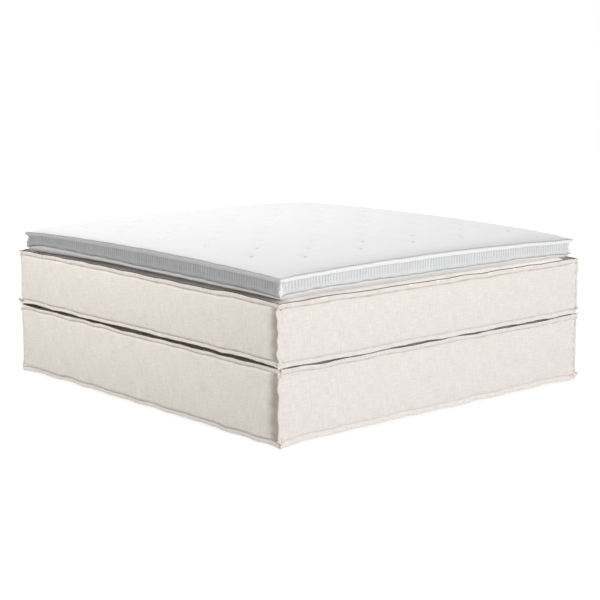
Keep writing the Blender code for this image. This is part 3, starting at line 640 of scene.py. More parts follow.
def side_panel(body, side, box, seed, zip_node=None):
    """One side panel with its flanges: a single cut of linen, bent out at its four seams."""
    name, node = f"{body}_linen_{side}", f"{body}_cover_{side}"
    out, along, reach, half = side_frame(side)
    number = SIDES.index(side)
    moved = panel_belly(box, side, seed)
    close = (0, 0.0022, 0.0044, 0.007, 0.0105, 0.015)
    depth = box.high - box.low
    face_s = stations(-half, half, PANEL_CELL, close)
    face_h = stations(0, depth, PANEL_CELL, close)
    corner_steps = np.append(FLANGE_STEPS * CORNER_FLANGE, CORNER_FLANGE + OVERLOCK)
    s_all = np.concatenate([-half - corner_steps[::-1], face_s, half + corner_steps])
    marks = np.concatenate([-FLANGE_STEPS[::-1], face_h / depth, 1 + FLANGE_STEPS])
    s, mark = np.meshgrid(s_all, marks)
    on_s = np.clip(s, -half, half)
    share = np.clip(mark, 0, 1)
    beyond = np.abs(mark - share)
    past = np.abs(s - on_s)
    level = (mark > 0.5).astype(int)

    low, high = box.seam(side, on_s, 0), box.seam(side, on_s, 1)
    height = low + share * (high - low)
    height += beyond * np.where(level, box.flange_edge(side, on_s, 1), -box.flange_edge(side, on_s, 0))

    rows, columns = moved.shape[:2]
    down = spline_weights(share[:, 0] * (rows - 1), rows)
    across = spline_weights((on_s[0] + half) / (2 * half) * (columns - 1), columns)
    shift = np.stack([down @ moved[..., i] @ across.T for i in range(3)], axis=-1)

    to_seam = np.minimum(share, 1 - share) * (high - low)
    to_corner = half - np.abs(on_s)
    gather = np.where(level, uneven(on_s, seed + 3, *GATHER_WAVES), uneven(on_s, seed + 4, *GATHER_WAVES))
    tuck = np.where(s > 0, uneven(height, seed + 5, *CREASE_WAVES), uneven(height, seed + 6, *CREASE_WAVES))
    outward = shift[..., 1].copy()
    deep, fades, begins = GATHERS
    outward += deep * gather * np.exp(-to_seam / fades) * (1 - np.exp(-to_seam / begins))
    deep, fades, begins = CREASES
    deep = np.where((s > 0) & (side == "foot"), FOOT_CREASE, deep)
    outward += deep * tuck * np.exp(-to_corner / fades) * (1 - np.exp(-to_corner / begins))
    # At the foot's left corner the foot panel carries on flat over the left one, which turns in under it.
    flat_on, turned_in = (side == "foot") & (s < 0), (side == "left") & (s > 0)
    groove_corner = to_corner + GROOVE_BEYOND * flat_on
    groove_corner = groove_corner / np.where(turned_in, TURNED_IN / GROOVE_WIDTH, 1)
    # Painted shade: beside the turned-in corner the left panel's cloth is painted dark for the shade under
    # the foot panel's flange, and on the foot panel the painted seam shade is moved past its end.
    dark_corner = np.maximum(to_corner - box.shade, 0) * SHADE_LIGHTENING
    shade_corner = np.where(turned_in, dark_corner, to_corner + SHADE_LINE_BEYOND * flat_on)
    outward += GROOVE_DEPTH * (1 - bell(np.minimum(to_seam, groove_corner), 0, GROOVE_WIDTH))
    outward -= box.pinch * np.sin(np.pi * share) * np.exp(-to_corner / 0.03)
    low_wave = uneven(on_s, box.seed + 61 + number, *SWAY_WAVES)
    high_wave = uneven(on_s, box.seed + 51 + number, *SWAY_WAVES)
    lean = flange_lean(beyond, np.where(level, high_wave, low_wave))
    lean = lean * np.where(level, 1, box.held(side, on_s, 0))
    if zip_node:
        zip_low, zip_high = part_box(zip_node)
        off_zip = (height - (zip_low.z + zip_high.z) / 2) / ZIP_FOLD
        past_zip = np.maximum(np.abs(on_s) - max(abs(zip_low.x), abs(zip_high.x)), 0) / ZIP_FOLD
        folded = np.exp(-(off_zip**4) - past_zip**2)
        outward = outward * (1 - folded) + np.minimum(outward, ZIP_DEPTH) * folded
    outward = np.where(beyond > 0, lean, outward)

    place = out * (reach + outward[..., None]) + along * (on_s + shift[..., 0])[..., None]
    place[..., 2] = height + np.where(beyond > 0, 0, shift[..., 2])

    for end in (1, -1):
        first = side if end == 1 else SIDES[number - 1]
        corner = SIDES.index(first)
        out_a = side_frame(first)[0]
        out_b = side_frame(SIDES[(corner + 1) % 4])[0]
        away = out_a * (1 + box.turn[first]) + out_b * (1 - box.turn[first])
        away = away / np.linalg.norm(away)
        across = np.array([away[1], -away[0], 0.0])
        own = across * np.sign(np.dot(across, -end * along))
        drawn = box.pinch * np.sin(np.pi * share) * 0.7 - flange_lean(beyond, 0) * 0.6
        line = out * reach + along * end * half - (out_a + out_b) * drawn[..., None]
        if first == "left":
            line += out_b * (GROOVE_DEPTH * (1 - bell(to_seam, 0, GROOVE_WIDTH)))[..., None]
        wobble = box.wobble[first]
        width = 1 + 0.2 * wobble * uneven(height, box.seed + 81 + corner, 0.05, 0.25)
        width = box.spread[first] * width * (1 - 0.7 * beyond)
        sway = CORNER_SWAY * wobble * uneven(height, box.seed + 71 + corner, 0.06, 0.20, 5)
        sway = sway * past / CORNER_FLANGE
        spot = line + away * (past * width)[..., None] + own * (PLY + PLY_GAP) + across * sway[..., None]
        spot[..., 2] = place[..., 2]
        place = np.where((s * end >= half - 1e-9)[..., None], spot, place)

    place = box.sewn_in(place)
    place[..., 2] = np.maximum(place[..., 2], OFF_FLOOR)
    edge = beyond * FLANGE
    flat = np.stack([s, share * depth + np.where(level, edge, -edge)], axis=-1)
    # The seam attribute only sets painted shade: how far a point is from the dark of the seams and of the
    # turned-in corner.
    slack = np.where(level, box.slack[side][1], box.slack[side][0])
    distance = np.where(edge > 0, edge + slack, np.minimum(to_seam + slack, shade_corner))
    distance = np.where(past > 0, np.maximum(past + SHADE_LINE_BEYOND * flat_on, edge), distance)
    # The ply that lies against a face is cut longer and overlocked; the other one has no such edge.
    keep = np.ones((len(marks) - 1, len(s_all) - 1), bool)
    keep[:, [0, -1]] = [box.turn[SIDES[number - 1]] < 0, box.turn[side] > 0 and side != "left"]
    piece = cloth_sheet(name, place, flat, linen, PLY, keep, distance)
    bound = np.zeros(keep.shape, np.int32)
    bound[:, [0, -1]] = 1
    second_finish(piece, overlock_shade_thread, bound[keep])
    settled(piece, node, body)


def lid_panel(body, end, box, level, rise, seed):
    """The panel over or under a linen box: a shallow dome, with its own ply of the flange all round."""
    sign = 1 if level else -1
    close = (0, 0.004, 0.009, 0.016, 0.025, 0.036, 0.049, 0.064, 0.080, 0.098, 0.12, 0.15, 0.185)
    inset = 2 * PLY + PLY_GAP
    half_x, half_y = HALF_X - inset, HALF_Y - inset
    steps = np.append(FLANGE_STEPS, OVERLOCK_STEP)
    spans = []
    for half in (half_x, half_y):
        inner = stations(-half, half, LID_CELL, close)
        spans.append(np.concatenate([-half - steps[::-1], inner, half + steps]))
    grid_x, grid_y = np.meshgrid(*spans)
    on_x, on_y = np.clip(grid_x, -half_x, half_x), np.clip(grid_y, -half_y, half_y)
    past_x, past_y = np.abs(grid_x - on_x), np.abs(grid_y - on_y)
    past = np.maximum(past_x, past_y)

    def lines(side, s):
        swayed = uneven(s, box.seed + (51 if level else 61) + SIDES.index(side), *SWAY_WAVES)
        return box.seam(side, s, level), box.flange_edge(side, s, level), swayed, box.held(side, s, level)

    edge, width, sway, held = over_sides(on_x, on_y, side_frame, inset, lines)
    ease_x = np.sin(np.pi / 2 * np.minimum((half_x - np.abs(on_x)) / LID_RUN_X, 1))
    ease_y = np.sin(np.pi / 2 * np.minimum((half_y - np.abs(on_y)) / LID_RUN_Y, 1))
    ease = ease_x * ease_y
    gather = uneven(np.where(ease_x < ease_y, on_y, on_x), seed, 0.03, 0.2)
    to_edge = np.minimum(half_x - np.abs(on_x), half_y - np.abs(on_y))
    puckered = sign * 0.001 * np.abs(gather) * np.exp(-to_edge / 0.04) * (ease > 0)
    height = edge + (rise - edge) * ease - puckered
    height = np.where(past > 0, edge + sign * past * width, height)
    lean = np.where(past > 0, flange_lean(past, sway) * held, 0)
    lean_x = np.where(past_x > 0, lean, 0) * np.sign(on_x)
    lean_y = np.where(past_y > 0, lean, 0) * np.sign(on_y)
    place = np.stack([on_x + lean_x, on_y + lean_y, height], axis=-1)
    place += (box.sewn_in(place) - place) * np.exp(-to_edge / 0.05)[..., None]
    flat_x, flat_y = on_x + np.sign(on_x) * past_x * FLANGE, on_y + np.sign(on_y) * past_y * FLANGE
    flat = np.stack([flat_x, flat_y], axis=-1)
    # Along the long sides the painted shade at the edge reaches several times further in, for the shade under
    # what lies on the lid.
    to_edge = np.minimum((half_x - np.abs(on_x)) * 0.22, half_y - np.abs(on_y))
    if not level:
        place, flat, past_x, past_y = place[::-1], flat[::-1], past_x[::-1], past_y[::-1]
        to_edge, past = to_edge[::-1], past[::-1]
    both = (past_x > 0) & (past_y > 0)
    keep = ~(both[:-1, :-1] | both[1:, 1:] | both[:-1, 1:] | both[1:, :-1])
    distance = np.where(past > 0, past * FLANGE, to_edge)
    piece = cloth_sheet(f"{body}_linen_{end}", place, flat, linen, PLY, keep, distance)
    bound = np.maximum(past[:-1, :-1], past[1:, 1:]) > 1.01
    second_finish(piece, overlock_shade_thread, bound[keep])
    settled(piece, f"{body}_cover_{end}", body)


# Washed linen: cream yarns in plain weave, with thick slubs a few centimetres long in both directions. Yarns
# are drawn 1.6 mm apart and slubs 4 to 5 mm wide, coarser than the real ones, to show from a step away.
linen, tree, shader = finish_named("linen woven washed cream", 0.85, sheen=0.15)
flat_place = add_node(tree, "UVMap", uv_map=WEAVE_MAP).outputs["UV"]
slub_shares = []
for stretch in ((18.0, 230.0, 1.0), (230.0, 18.0, 1.0)):
    drawn = add_node(tree, "Mapping", {"Vector": flat_place, "Scale": stretch}).outputs["Vector"]
    slub = add_node(tree, "TexNoise", {"Vector": drawn, "Scale": 1.0, "Detail": 2.0, "Roughness": 0.6})
    slub_shares.append(slub.outputs["Fac"])
slubs = add_node(tree, "Math", {0: slub_shares[0], 1: slub_shares[1]}, operation="ADD").outputs[0]
cloud = add_node(tree, "TexNoise", {"Vector": flat_place, "Scale": 9.0, "Detail": 3.0}).outputs["Fac"]
clouded = add_node(tree, "Math", {0: cloud, 1: 0.2, 2: slubs}, operation="MULTIPLY_ADD").outputs[0]
spread = add_node(tree, "MapRange", {"Value": clouded, "From Min": 0.60, "From Max": 1.55}).outputs["Result"]
cloth = add_node(tree, "Mix", {"Factor": spread}, data_type="RGBA")
cloth.inputs[6].default_value = linear("dfd6cd")
cloth.inputs[7].default_value = linear("faf5f1")
# Painted shade: near seams the base colour runs to a darker one, for the shade in the stitched grooves,
# beside the turned-in corner at the foot's left end and along the lids' long sides.
seam_place = add_node(tree, "Attribute", attribute_name=SEAM_MAP).outputs["Fac"]
shade_reach = add_node(tree, "TexNoise", {"Vector": flat_place, "Scale": 16.0, "Detail": 2.0}).outputs["Fac"]
shade_reach = add_node(tree, "Math", {0: shade_reach, 1: 0.006, 2: seam_place}, operation="MULTIPLY_ADD").outputs[0]
shade_range = {"Value": shade_reach, "From Min": 0.0010, "From Max": 0.0092}
unshaded = add_node(tree, "MapRange", shade_range, interpolation_type="SMOOTHSTEP").outputs["Result"]
shaded = add_node(tree, "Mix", {"Factor": unshaded}, data_type="RGBA")
shaded.inputs[6].default_value = linear("b1a699")
tree.links.new(cloth.outputs[2], shaded.inputs[7])
tree.links.new(shaded.outputs[2], shader.inputs["Base Color"])
yarns = []
for direction in ("X", "Y"):
    spun = {"Vector": flat_place, "Scale": 200.0, "Distortion": 1.5, "Detail": 1.0}
    yarns.append(add_node(tree, "TexWave", spun, bands_direction=direction).outputs["Fac"])
weave = add_node(tree, "Math", {0: yarns[0], 1: yarns[1]}, operation="ADD").outputs[0]
relief = add_node(tree, "Math", {0: slubs, 1: 0.8, 2: weave}, operation="MULTIPLY_ADD").outputs[0]
raised(tree, shader, relief, 0.00025)

# Spun polyester thread of the overlocked cut edges: taupe and matt, with its stitches drawn 10 mm apart,
# because those of a machine, 2.5 mm apart, wouldn't show. Its dark taupe is partly painted shade: the thread
# also stands for the shade in the gap behind the flange tips and beside the corner flanges.
overlock_shade_thread, tree, shader = finish_named("polyester thread overlocked taupe", 0.9, sheen=0.1)
flat_place = add_node(tree, "UVMap", uv_map=WEAVE_MAP).outputs["UV"]
stitches = {"Vector": flat_place, "Scale": 63.0}
loops = add_node(tree, "TexWave", stitches, bands_direction="DIAGONAL").outputs["Fac"]
colour_between(tree, shader, "574c42", "85796d", loops)
raised(tree, shader, loops, 0.0004)

base_box = Box(
    low=0.040,
    high=0.335,
    low_flange=by_side(0.0225, 0.0225, 0.0210, 0.0190),
    high_flange=by_side(0.0215, 0.0215, 0.0215, 0.0180),
    tips=(0.0185, 0.0240),
    lift=by_side((0.001, -0.003), (0.001, -0.001), (-0.002, 0.001), (-0.008, 0.005)),
    tilt={},
    slack=by_side((0.0036, 0.0014), (0.0, 0.0), (0.0, 0.0), (0.0010, 0.0)),
    shade=0.030,
    tucked=("left",),
    droop=0.012,
    pinch=0.0010,
    turn=by_side(-0.80, -0.60, 0.85, 0.60),
    spread=by_side(0.75, 0.85, 0.35, 0.95),
    wobble=by_side(0.5, 0.5, 0.15, 0.7),
    seed=100,
)
for index, side in enumerate(SIDES):
    side_panel("base", side, base_box, 200 + 10 * index)
lid_panel("base", "top", base_box, 1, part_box("base_cover_top")[1].z, 260)

# Inside the mattress.
# A taller block of pocket springs between four foam rails, with a foam layer under it and one over it.

pocket_springs("mattress_springs", "mattress_spring_core", "mattress")
for layer in ("top", "bottom"):
    foam_block(f"mattress_layer_{layer}", f"mattress_comfort_{layer}", foam_cream, "mattress")
for side in SIDES:
    foam_block(f"mattress_foam_{side}", f"mattress_edge_foam_{side}", foam_cream, "mattress")

# Mattress cover.
# The same linen and the same outward flanges as on the base; the underside panel lies on the base's top.

mattress_box = Box(
    low=0.3894,
    high=0.6274,
    low_flange=by_side(0.0195, 0.0215, 0.0215, 0.0155),
    high_flange=by_side(0.0235, 0.0215, 0.0215, 0.0215),
    tips=(0.0250, 0.0185),
    lift=by_side((-0.008, -0.006), (-0.004, -0.003), (0.0, 0.0), (0.001, 0.003)),
    tilt={"left": (0.0, -0.0030)},
    slack=by_side((0.0018, 0.0008), (0.0, 0.0), (0.0, 0.0), (0.0, 0.0)),
    shade=0.022,
    tucked=("head",),
    droop=0.0,
    pinch=0.0045,
    turn=by_side(-0.90, 0.60, 0.85, 0.85),
    spread=by_side(0.78, 0.85, 0.35, 1.0),
    wobble=by_side(0.9, 0.5, 0.15, 1.25),
    seed=300,
)
for index, side in enumerate(SIDES):
    zip_node = "mattress_zip_chain" if side == "head" else None
    side_panel("mattress", side, mattress_box, 400 + 10 * index, zip_node)
lid_panel("mattress", "top", mattress_box, 1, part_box("mattress_cover_top")[1].z, 460)
lid_panel("mattress", "bottom", mattress_box, 0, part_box("mattress_cover_bottom")[0].z, 470)

# Zips.
# A nylon coil chain on woven tape sewn into the head side of the mattress cover and of the topper cover,
# each with one die-cast slider. The CAD pieces keep their shape.

# Nylon coil and tape: cream, with teeth along the chain drawn 3 mm apart, twice as coarse as real ones.
zip_tape, tree, shader = finish_named("nylon coil zip cream", 0.5)
place = add_node(tree, "TexCoord").outputs["Object"]
teeth = add_node(tree, "TexWave", {"Vector": place, "Scale": 105.0, "Distortion": 0.3}).outputs["Fac"]
colour_between(tree, shader, "c9c0b2", "e9e2d6", teeth)
raised(tree, shader, teeth, 0.0005)

# Die-cast zinc, tumbled and nickel plated: a soft grey shine with fine marks.
nickel = ("a9a8a6", "cfcecb")
zip_metal = grained("zinc die-cast nickel plated", 0.32, 700.0, 4.0, *nickel, 0.00005, metallic=1.0)

for layer in ("mattress", "topper"):
    dressed(f"{layer}_zip_chain", zip_tape)
    dressed(f"{layer}_zip_slider", zip_metal)

# Topper.
# A foam core in a white knitted cover: a wadded top that is tufted through in a diamond pattern,
# a border with a band of open spacer mesh, and a plain underside that bulges below the border's low seam.

TOPPER_X = HALF_X - 0.024
TOPPER_Y = HALF_Y - 0.024
TOPPER_LOW_SEAM = 0.6865
TOPPER_HIGH_SEAM = 0.7475
TOPPER_ARCH = 0.0215
CORNER_SAG = 0.0190
TICKING = 0.0020
WADDED_TICKING = 0.0035
TUFT_PITCH_X = 0.1740
TUFT_PITCH_Y = 0.1725
CROWN = 0.0225
CROWN_RUN = 0.036
LIP = 0.0018
SEAM_TUCK = 0.0040
BAND_LOW = 0.27
BAND_HIGH = 0.77
BAND_END = 0.016
RIB_PITCH = 0.0176
RIB_DEPTH = 0.0012
BORDER_CUT = 0.080
BORDER_CELL = 0.0036
QUILT_CELL = 0.0100
QUILT_WAVES = (0.12, 0.7)
# The ties sit in the very quilt that is drawn, so both are made from this seed.
QUILT_SEED = 690
TOPPER_KNOT = (0.024, 0.0045, 0.018)
# How far in the underside reaches the mattress at mid side, and what share of the way down it drops at once.
BELLY = by_side((0.040, 0.28), (0.110, 0.55), (0.06, 0.45), (0.118, 0.55))
# How deep and wide the wadding is drawn down round a tuft, and the cloth right beside the tie.
DIMPLE = (0.0070, 0.046)
TIED_IN = (0.0084, 0.0185)
# Half the length, width and height of a tie.
TIE = (0.0200, 0.0145, 0.0052)


def topper_frame(side):
    """The frame of a side of the topper."""
    return side_frame(side, TOPPER_X, TOPPER_Y)


def topper_low_seam(side, s):
    """Height of the border's low seam, which is sewn by hand, wanders and hangs lower at the corners."""
    half = topper_frame(side)[3]
    share = 1 - near_corner(s, half, 0.04)
    lift, tilt = {"foot": (-0.0055, -0.0035), "left": (-0.0010, -0.0095)}.get(side, (0.0, 0.0))
    wave = 0.0025 * uneven(s, 611 + SIDES.index(side), 0.07, 0.5)
    lifted = lift * np.cos(np.pi / 2 * np.clip(s / half, -1, 1)) ** 0.5 + tilt * s / half
    return TOPPER_LOW_SEAM + (wave + lifted) * share - CORNER_SAG * near_corner(s, half, 0.13)


def topper_high_seam(side, s):
    """Height of the border's top seam: highest in the middle of a side, lowest at the corners."""
    half = topper_frame(side)[3]
    share = 1 - near_corner(s, half, 0.04)
    lift, tilt = {"foot": (-0.0030, -0.0050)}.get(side, (0.0, 0.0))
    wave = 0.0012 * uneven(s, 621 + SIDES.index(side), 0.10, 0.7)
    return TOPPER_HIGH_SEAM + TOPPER_ARCH * (1 - (s / half) ** 2) + (wave + lift + tilt * s / half) * share


def topper_bunched(place):
    """Bunches the cloth up at the topper's corners, the quilt's and the borders' alike."""
    heights = np.linspace(TOPPER_LOW_SEAM - CORNER_SAG, TOPPER_HIGH_SEAM, 4)
    return bunched(place, corner_points(TOPPER_X, TOPPER_Y, heights), *TOPPER_KNOT, 640)


def border(side, seed):
    """One border strip, with a ribbed mesh band below its plain top and ears at its corners."""
    out, along, reach, half = topper_frame(side)
    s_line = np.linspace(-half, half, int(round(2 * half / BORDER_CELL)) + 1)
    shares = np.concatenate(
        [
            (0, 0.02, 0.045, 0.08, 0.12, 0.16, 0.20, 0.24),
            np.linspace(BAND_LOW, BAND_HIGH, 9),
            (0.80, 0.83, 0.86, 0.885, 0.91, 0.93, 0.946, 0.962, 0.976, 0.988, 1.0),
        ]
    )
    s, share = np.meshgrid(s_line, shares)
    low, high = topper_low_seam(side, s), topper_high_seam(side, s)
    height = low + (high - low) * share
    rise = np.clip((share - BAND_LOW) / 0.03, 0, 1)
    in_band = rise * np.clip((BAND_HIGH - share) / 0.03, 0, 1)
    phase = s / RIB_PITCH + 0.2 * uneven(s, seed, 0.05, 0.3)
    rib = np.abs(np.sin(np.pi * phase)) ** 0.7
    # The cloth is drawn in at both seams, stands out beside the band and lies back between its ribs.
    outward = 0.0020 * np.sin(np.pi * share) - (SEAM_TUCK + 0.001) * bell(share, 1, 0.045)
    outward -= 0.0050 * bell(share, 0, 0.04)
    outward += 0.0008 * bell(share, 0.14, 0.09)
    outward += 0.0035 * bell(share, 0.88, 0.11)
    outward -= in_band * (0.0020 + RIB_DEPTH * (1 - rib))
    outward += 0.0016 * uneven(s, seed + 1, 0.025, 0.2) * (1 - share) * np.sin(np.pi * share)
    outward += 0.0010 * uneven(s, seed + 2, 0.03, 0.2) * share**3
    # At each corner it stands out near both seams and is drawn in between them.
    to_corner = half - np.abs(s)
    ear = 0.0062 * bell(share, 0.96, 0.09) + 0.0040 * bell(share, 0.04, 0.10)
    ear -= 0.0030 * bell(share, 0.5, 0.25)
    ear = ear * np.exp(-to_corner / 0.011)
    if side in ("foot", "right"):
        ear = ear * np.where((s > 0) == (side == "foot"), 1.6, 1)
    drawn = outward * np.exp(-to_corner / 0.006)
    place = out * (reach + outward + ear)[..., None] + along * (s + np.sign(s) * (ear + drawn))[..., None]
    place[..., 2] = height
    place = topper_bunched(place)
    flat = np.stack([s, share * BORDER_CUT], axis=-1)
    # On the left the painted shade at the low seam starts a little further from it.
    lighter_low_shade = 0.0016 if side == "left" else 0.0
    to_seam = np.minimum(share * BORDER_CUT + lighter_low_shade, (1 - share) * BORDER_CUT)
    piece = cloth_sheet(f"topper_edge_{side}", place, flat, ticking, TICKING, to_seam=to_seam)
    cell_share = (share[:-1, :-1] + share[1:, 1:]) / 2
    cell_corner = half - np.abs((s[:-1, :-1] + s[1:, 1:]) / 2)
    meshed = (cell_share < BAND_HIGH) & (cell_corner > BAND_END)
    second_finish(piece, spacer_mesh, meshed.reshape(-1))
    settled(piece, f"topper_border_{side}", "topper")


def tufts():
    """The places of the 50 tufts, in a diamond pattern: every other crossing of ten columns and ten rows."""
    return [
        ((column - 4.5) * TUFT_PITCH_X, (row - 4.5) * TUFT_PITCH_Y)
        for column in range(10)
        for row in range(10)
        if (column + row) % 2
    ]


def tuft_distance(x, y):
    """How far a place on the top is from the nearest tuft."""
    return np.min([np.hypot(x - tuft_x, y - tuft_y) for tuft_x, tuft_y in tufts()], axis=0)


def quilt_height(x, y, seed):
    """Height of the tufted top: crowned from its seams, and drawn down at each tuft."""
    edge = over_sides(x, y, topper_frame, 0, lambda side, s: [topper_high_seam(side, s)])[0]
    arch = TOPPER_HIGH_SEAM + TOPPER_ARCH * (1 - (x / TOPPER_X * y / TOPPER_Y) ** 2)
    to_edge = np.minimum(TOPPER_X - np.abs(x), TOPPER_Y - np.abs(y))
    near_edge = np.exp(-to_edge / 0.03)
    rise_x = 1 - near_corner(x, TOPPER_X, CROWN_RUN)
    rise_y = 1 - near_corner(y, TOPPER_Y, CROWN_RUN)
    rise = CROWN * rise_x * rise_y
    away = tuft_distance(x, y)
    dip = DIMPLE[0] * bell(away, 0, DIMPLE[1]) + TIED_IN[0] * np.exp(-((away / TIED_IN[1]) ** 1.8))
    soft = 0.0016 * uneven(x + 0.3 * y, seed, *QUILT_WAVES) * uneven(y - 0.2 * x, seed + 1, *QUILT_WAVES)
    lip = LIP * (1 - np.exp(-to_edge / 0.0050))
    return edge * near_edge + arch * (1 - near_edge) + lip + rise - dip + soft * rise / CROWN


def quilted(seed):
    """The tufted top panel: ticking over wadding, sewn to the borders at their top seam."""
    close = (0, 0.002, 0.005, 0.009, 0.014, 0.021, 0.030)
    half_x, half_y = TOPPER_X - SEAM_TUCK, TOPPER_Y - SEAM_TUCK
    xs = stations(-half_x, half_x, QUILT_CELL, close)
    ys = stations(-half_y, half_y, QUILT_CELL, close)
    x, y = np.meshgrid(xs, ys)
    wide_x, wide_y = x * TOPPER_X / half_x, y * TOPPER_Y / half_y
    proud_x, proud_y = (
        0.0020 * (1 - bell(inside, 0, 0.0015)) * np.exp(-inside / 0.008)
        for inside in (half_x - abs(x), half_y - abs(y))
    )
    height = quilt_height(wide_x, wide_y, seed)
    place = np.stack([x + proud_x * np.sign(x), y + proud_y * np.sign(y), height], axis=-1)
    place = topper_bunched(place)
    to_edge = np.minimum(half_x - np.abs(x), half_y - np.abs(y))
    flat = np.stack([x, y], axis=-1)
    piece = cloth_sheet("topper_quilt", place, flat, ticking, WADDED_TICKING, to_seam=to_edge)
    settled(piece, "topper_quilted_top", "topper")


def belly_height(x, y, low):
    """Height of the underside, which curves up from the mattress to the low seam, fullest at the corners."""

    def lines(side, s):
        half = topper_frame(side)[3]
        middle, first = BELLY[side]
        if side == "left":
            middle = middle * np.clip(1 + 0.85 * s / half, 0.2, 1.1)
            first = first + 0.2 * np.clip(s / half + 0.2, 0, 0.9)
        run = middle - (middle - 0.016) * near_corner(s, half, 0.25)
        return topper_low_seam(side, s), run, first * np.ones_like(s)

    edge, run, hung = over_sides(x, y, topper_frame, 0, lines)
    to_edge = np.minimum(TOPPER_X - np.abs(x), TOPPER_Y - np.abs(y))
    share = hung * (1 - np.exp(-to_edge / 0.0065)) + (1 - hung) * np.minimum(to_edge / run, 1)
    share = np.maximum(share, np.minimum(to_edge / run, 1) ** 6)
    return edge - 0.0005 - (edge - low) * share


def belly_panel():
    """The underside panel of the cover."""
    close = (0, 0.002, 0.005, 0.009, 0.014, 0.020, 0.028, 0.038, 0.050, 0.064, 0.080, 0.098, 0.12, 0.15)
    spans = [stations(-half, half, LID_CELL, close) for half in (TOPPER_X, TOPPER_Y)]
    x, y = np.meshgrid(*spans)
    drawn_x = 0.0050 * near_corner(x, TOPPER_X, 0.003) * np.sign(x)
    drawn_y = 0.0050 * near_corner(y, TOPPER_Y, 0.003) * np.sign(y)
    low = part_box("topper_cover_bottom")[0].z
    place = np.stack([x - drawn_x, y - drawn_y, belly_height(x, y, low)], axis=-1)
    flat = np.stack([x, y], axis=-1)
    to_edge = np.minimum(TOPPER_X - np.abs(x), TOPPER_Y - np.abs(y))
    piece = cloth_sheet("topper_underside", place[::-1], flat[::-1], ticking, TICKING, to_seam=to_edge[::-1])
    settled(piece, "topper_cover_bottom", "topper")


def topper_block():
    """The topper's foam core, cut a little smaller than its cover all round and pressed in under each tie."""
    inset = 0.009
    spans = []
    for half, pitch in ((TOPPER_X - inset, TUFT_PITCH_X), (TOPPER_Y - inset, TUFT_PITCH_Y)):
        even = stations(-half, half, 0.06, (0, 0.02, 0.045, 0.08))
        spans.append(np.union1d(even, (np.arange(10) - 4.5) * pitch))
    x, y = np.meshgrid(*spans)
    under = belly_height(x, y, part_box("topper_cover_bottom")[0].z) + 0.006
    low = np.maximum(under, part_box("topper_core")[0].z)
    high = quilt_height(x, y, 691) - inset
    top, bottom = (np.stack([x, y, z], axis=-1) for z in (high, low))
    piece = closed_block("topper_foam", top, bottom, foam_cream, mapped=False)
    settled(piece, "topper_core", "topper")


def paint_seam_shade(tree, shader, dark, near, far):
    """Paints shade into a cloth at its seams: its base colour runs to a darker one between far and near."""
    place = add_node(tree, "Attribute", attribute_name=SEAM_MAP).outputs["Fac"]
    opened = add_node(tree, "MapRange", {"Value": place, "From Min": near, "From Max": far})
    mix = add_node(tree, "Mix", {"Factor": opened.outputs["Result"]}, data_type="RGBA")
    mix.inputs[6].default_value = linear(dark)
    tree.links.new(shader.inputs["Base Color"].links[0].from_socket, mix.inputs[7])
    tree.links.new(mix.outputs[2], shader.inputs["Base Color"])


# Knitted polyester ticking: white, soft and matt, with loops drawn 2.4 mm apart, twice as coarse as real.
ticking, tree, shader = finish_named("polyester ticking knitted white", 0.8, sheen=0.1)
flat_place = add_node(tree, "UVMap", uv_map=WEAVE_MAP).outputs["UV"]
knitted = {"Vector": flat_place, "Scale": 130.0, "Distortion": 2.0, "Detail": 2.0}
loops = add_node(tree, "TexWave", knitted).outputs["Fac"]
haze = add_node(tree, "TexNoise", {"Vector": flat_place, "Scale": 45.0, "Detail": 4.0}).outputs["Fac"]
colour_between(tree, shader, "e7e7e7", "f2f2f2", haze)
# Painted shade at the ticking's seams.
paint_seam_shade(tree, shader, "d2d3d4", 0.0008, 0.0030)
raised(tree, shader, loops, 0.00015)

# Spacer mesh of the border: knitted in upright ribs with a pattern of small holes, so a shade darker.
spacer_mesh, tree, shader = finish_named("polyester spacer mesh knitted", 0.75, sheen=0.1)
flat_place = add_node(tree, "UVMap", uv_map=WEAVE_MAP).outputs["UV"]
drift = add_node(tree, "TexNoise", {"Vector": flat_place, "Scale": 14.0, "Detail": 3.0}).outputs["Fac"]
parts = add_node(tree, "SeparateXYZ", {"Vector": flat_place})
band_start = {"From Min": BAND_LOW * BORDER_CUT - 0.001, "From Max": BAND_LOW * BORDER_CUT + 0.001}
plain = {"Value": parts.outputs["Y"], "To Min": 0.85, "To Max": 0.0, **band_start}
ribbed = add_node(tree, "MapRange", plain).outputs["Result"]
to_turns = {0: parts.outputs["X"], 1: math.pi / RIB_PITCH}
turns = add_node(tree, "Math", to_turns, operation="MULTIPLY").outputs[0]
turns = add_node(tree, "Math", {0: drift, 1: 3.0, 2: turns}, operation="MULTIPLY_ADD").outputs[0]
ribs = add_node(tree, "Math", {0: turns}, operation="SINE").outputs[0]
ribs = add_node(tree, "Math", {0: ribs}, operation="ABSOLUTE").outputs[0]
holes = add_node(tree, "TexVoronoi", {"Vector": flat_place, "Scale": 420.0, "Randomness": 0.2})
ribs = add_node(tree, "Math", {0: ribs, 1: ribbed}, operation="MAXIMUM").outputs[0]
# Painted shade: the colour is darker between the ribs, for the shade in the grooves between them, and drifts
# at random.
shade = add_node(tree, "Math", {0: drift, 1: 0.8, 2: ribs}, operation="MULTIPLY_ADD").outputs[0]
shade = add_node(tree, "Math", {0: shade, 1: 0.6}, operation="MULTIPLY").outputs[0]
colour_between(tree, shader, "b0b2b4", "e2e3e4", shade)
# Painted shade at the mesh's seams.
paint_seam_shade(tree, shader, "b4b7b9", 0.0010, 0.0034)
raised(tree, shader, holes.outputs["Distance"], 0.0004)

# Wool yarn of the tufts: mid grey, soft and matt, tied through the topper. The grey is partly painted shade:
# the knots also stand for the shade in the dimples round them.
wool_yarn_and_shade = grained("wool yarn spun grey", 0.95, 900.0, 3.0, "66676a", "98999c", 0.0006, sheen=0.4)


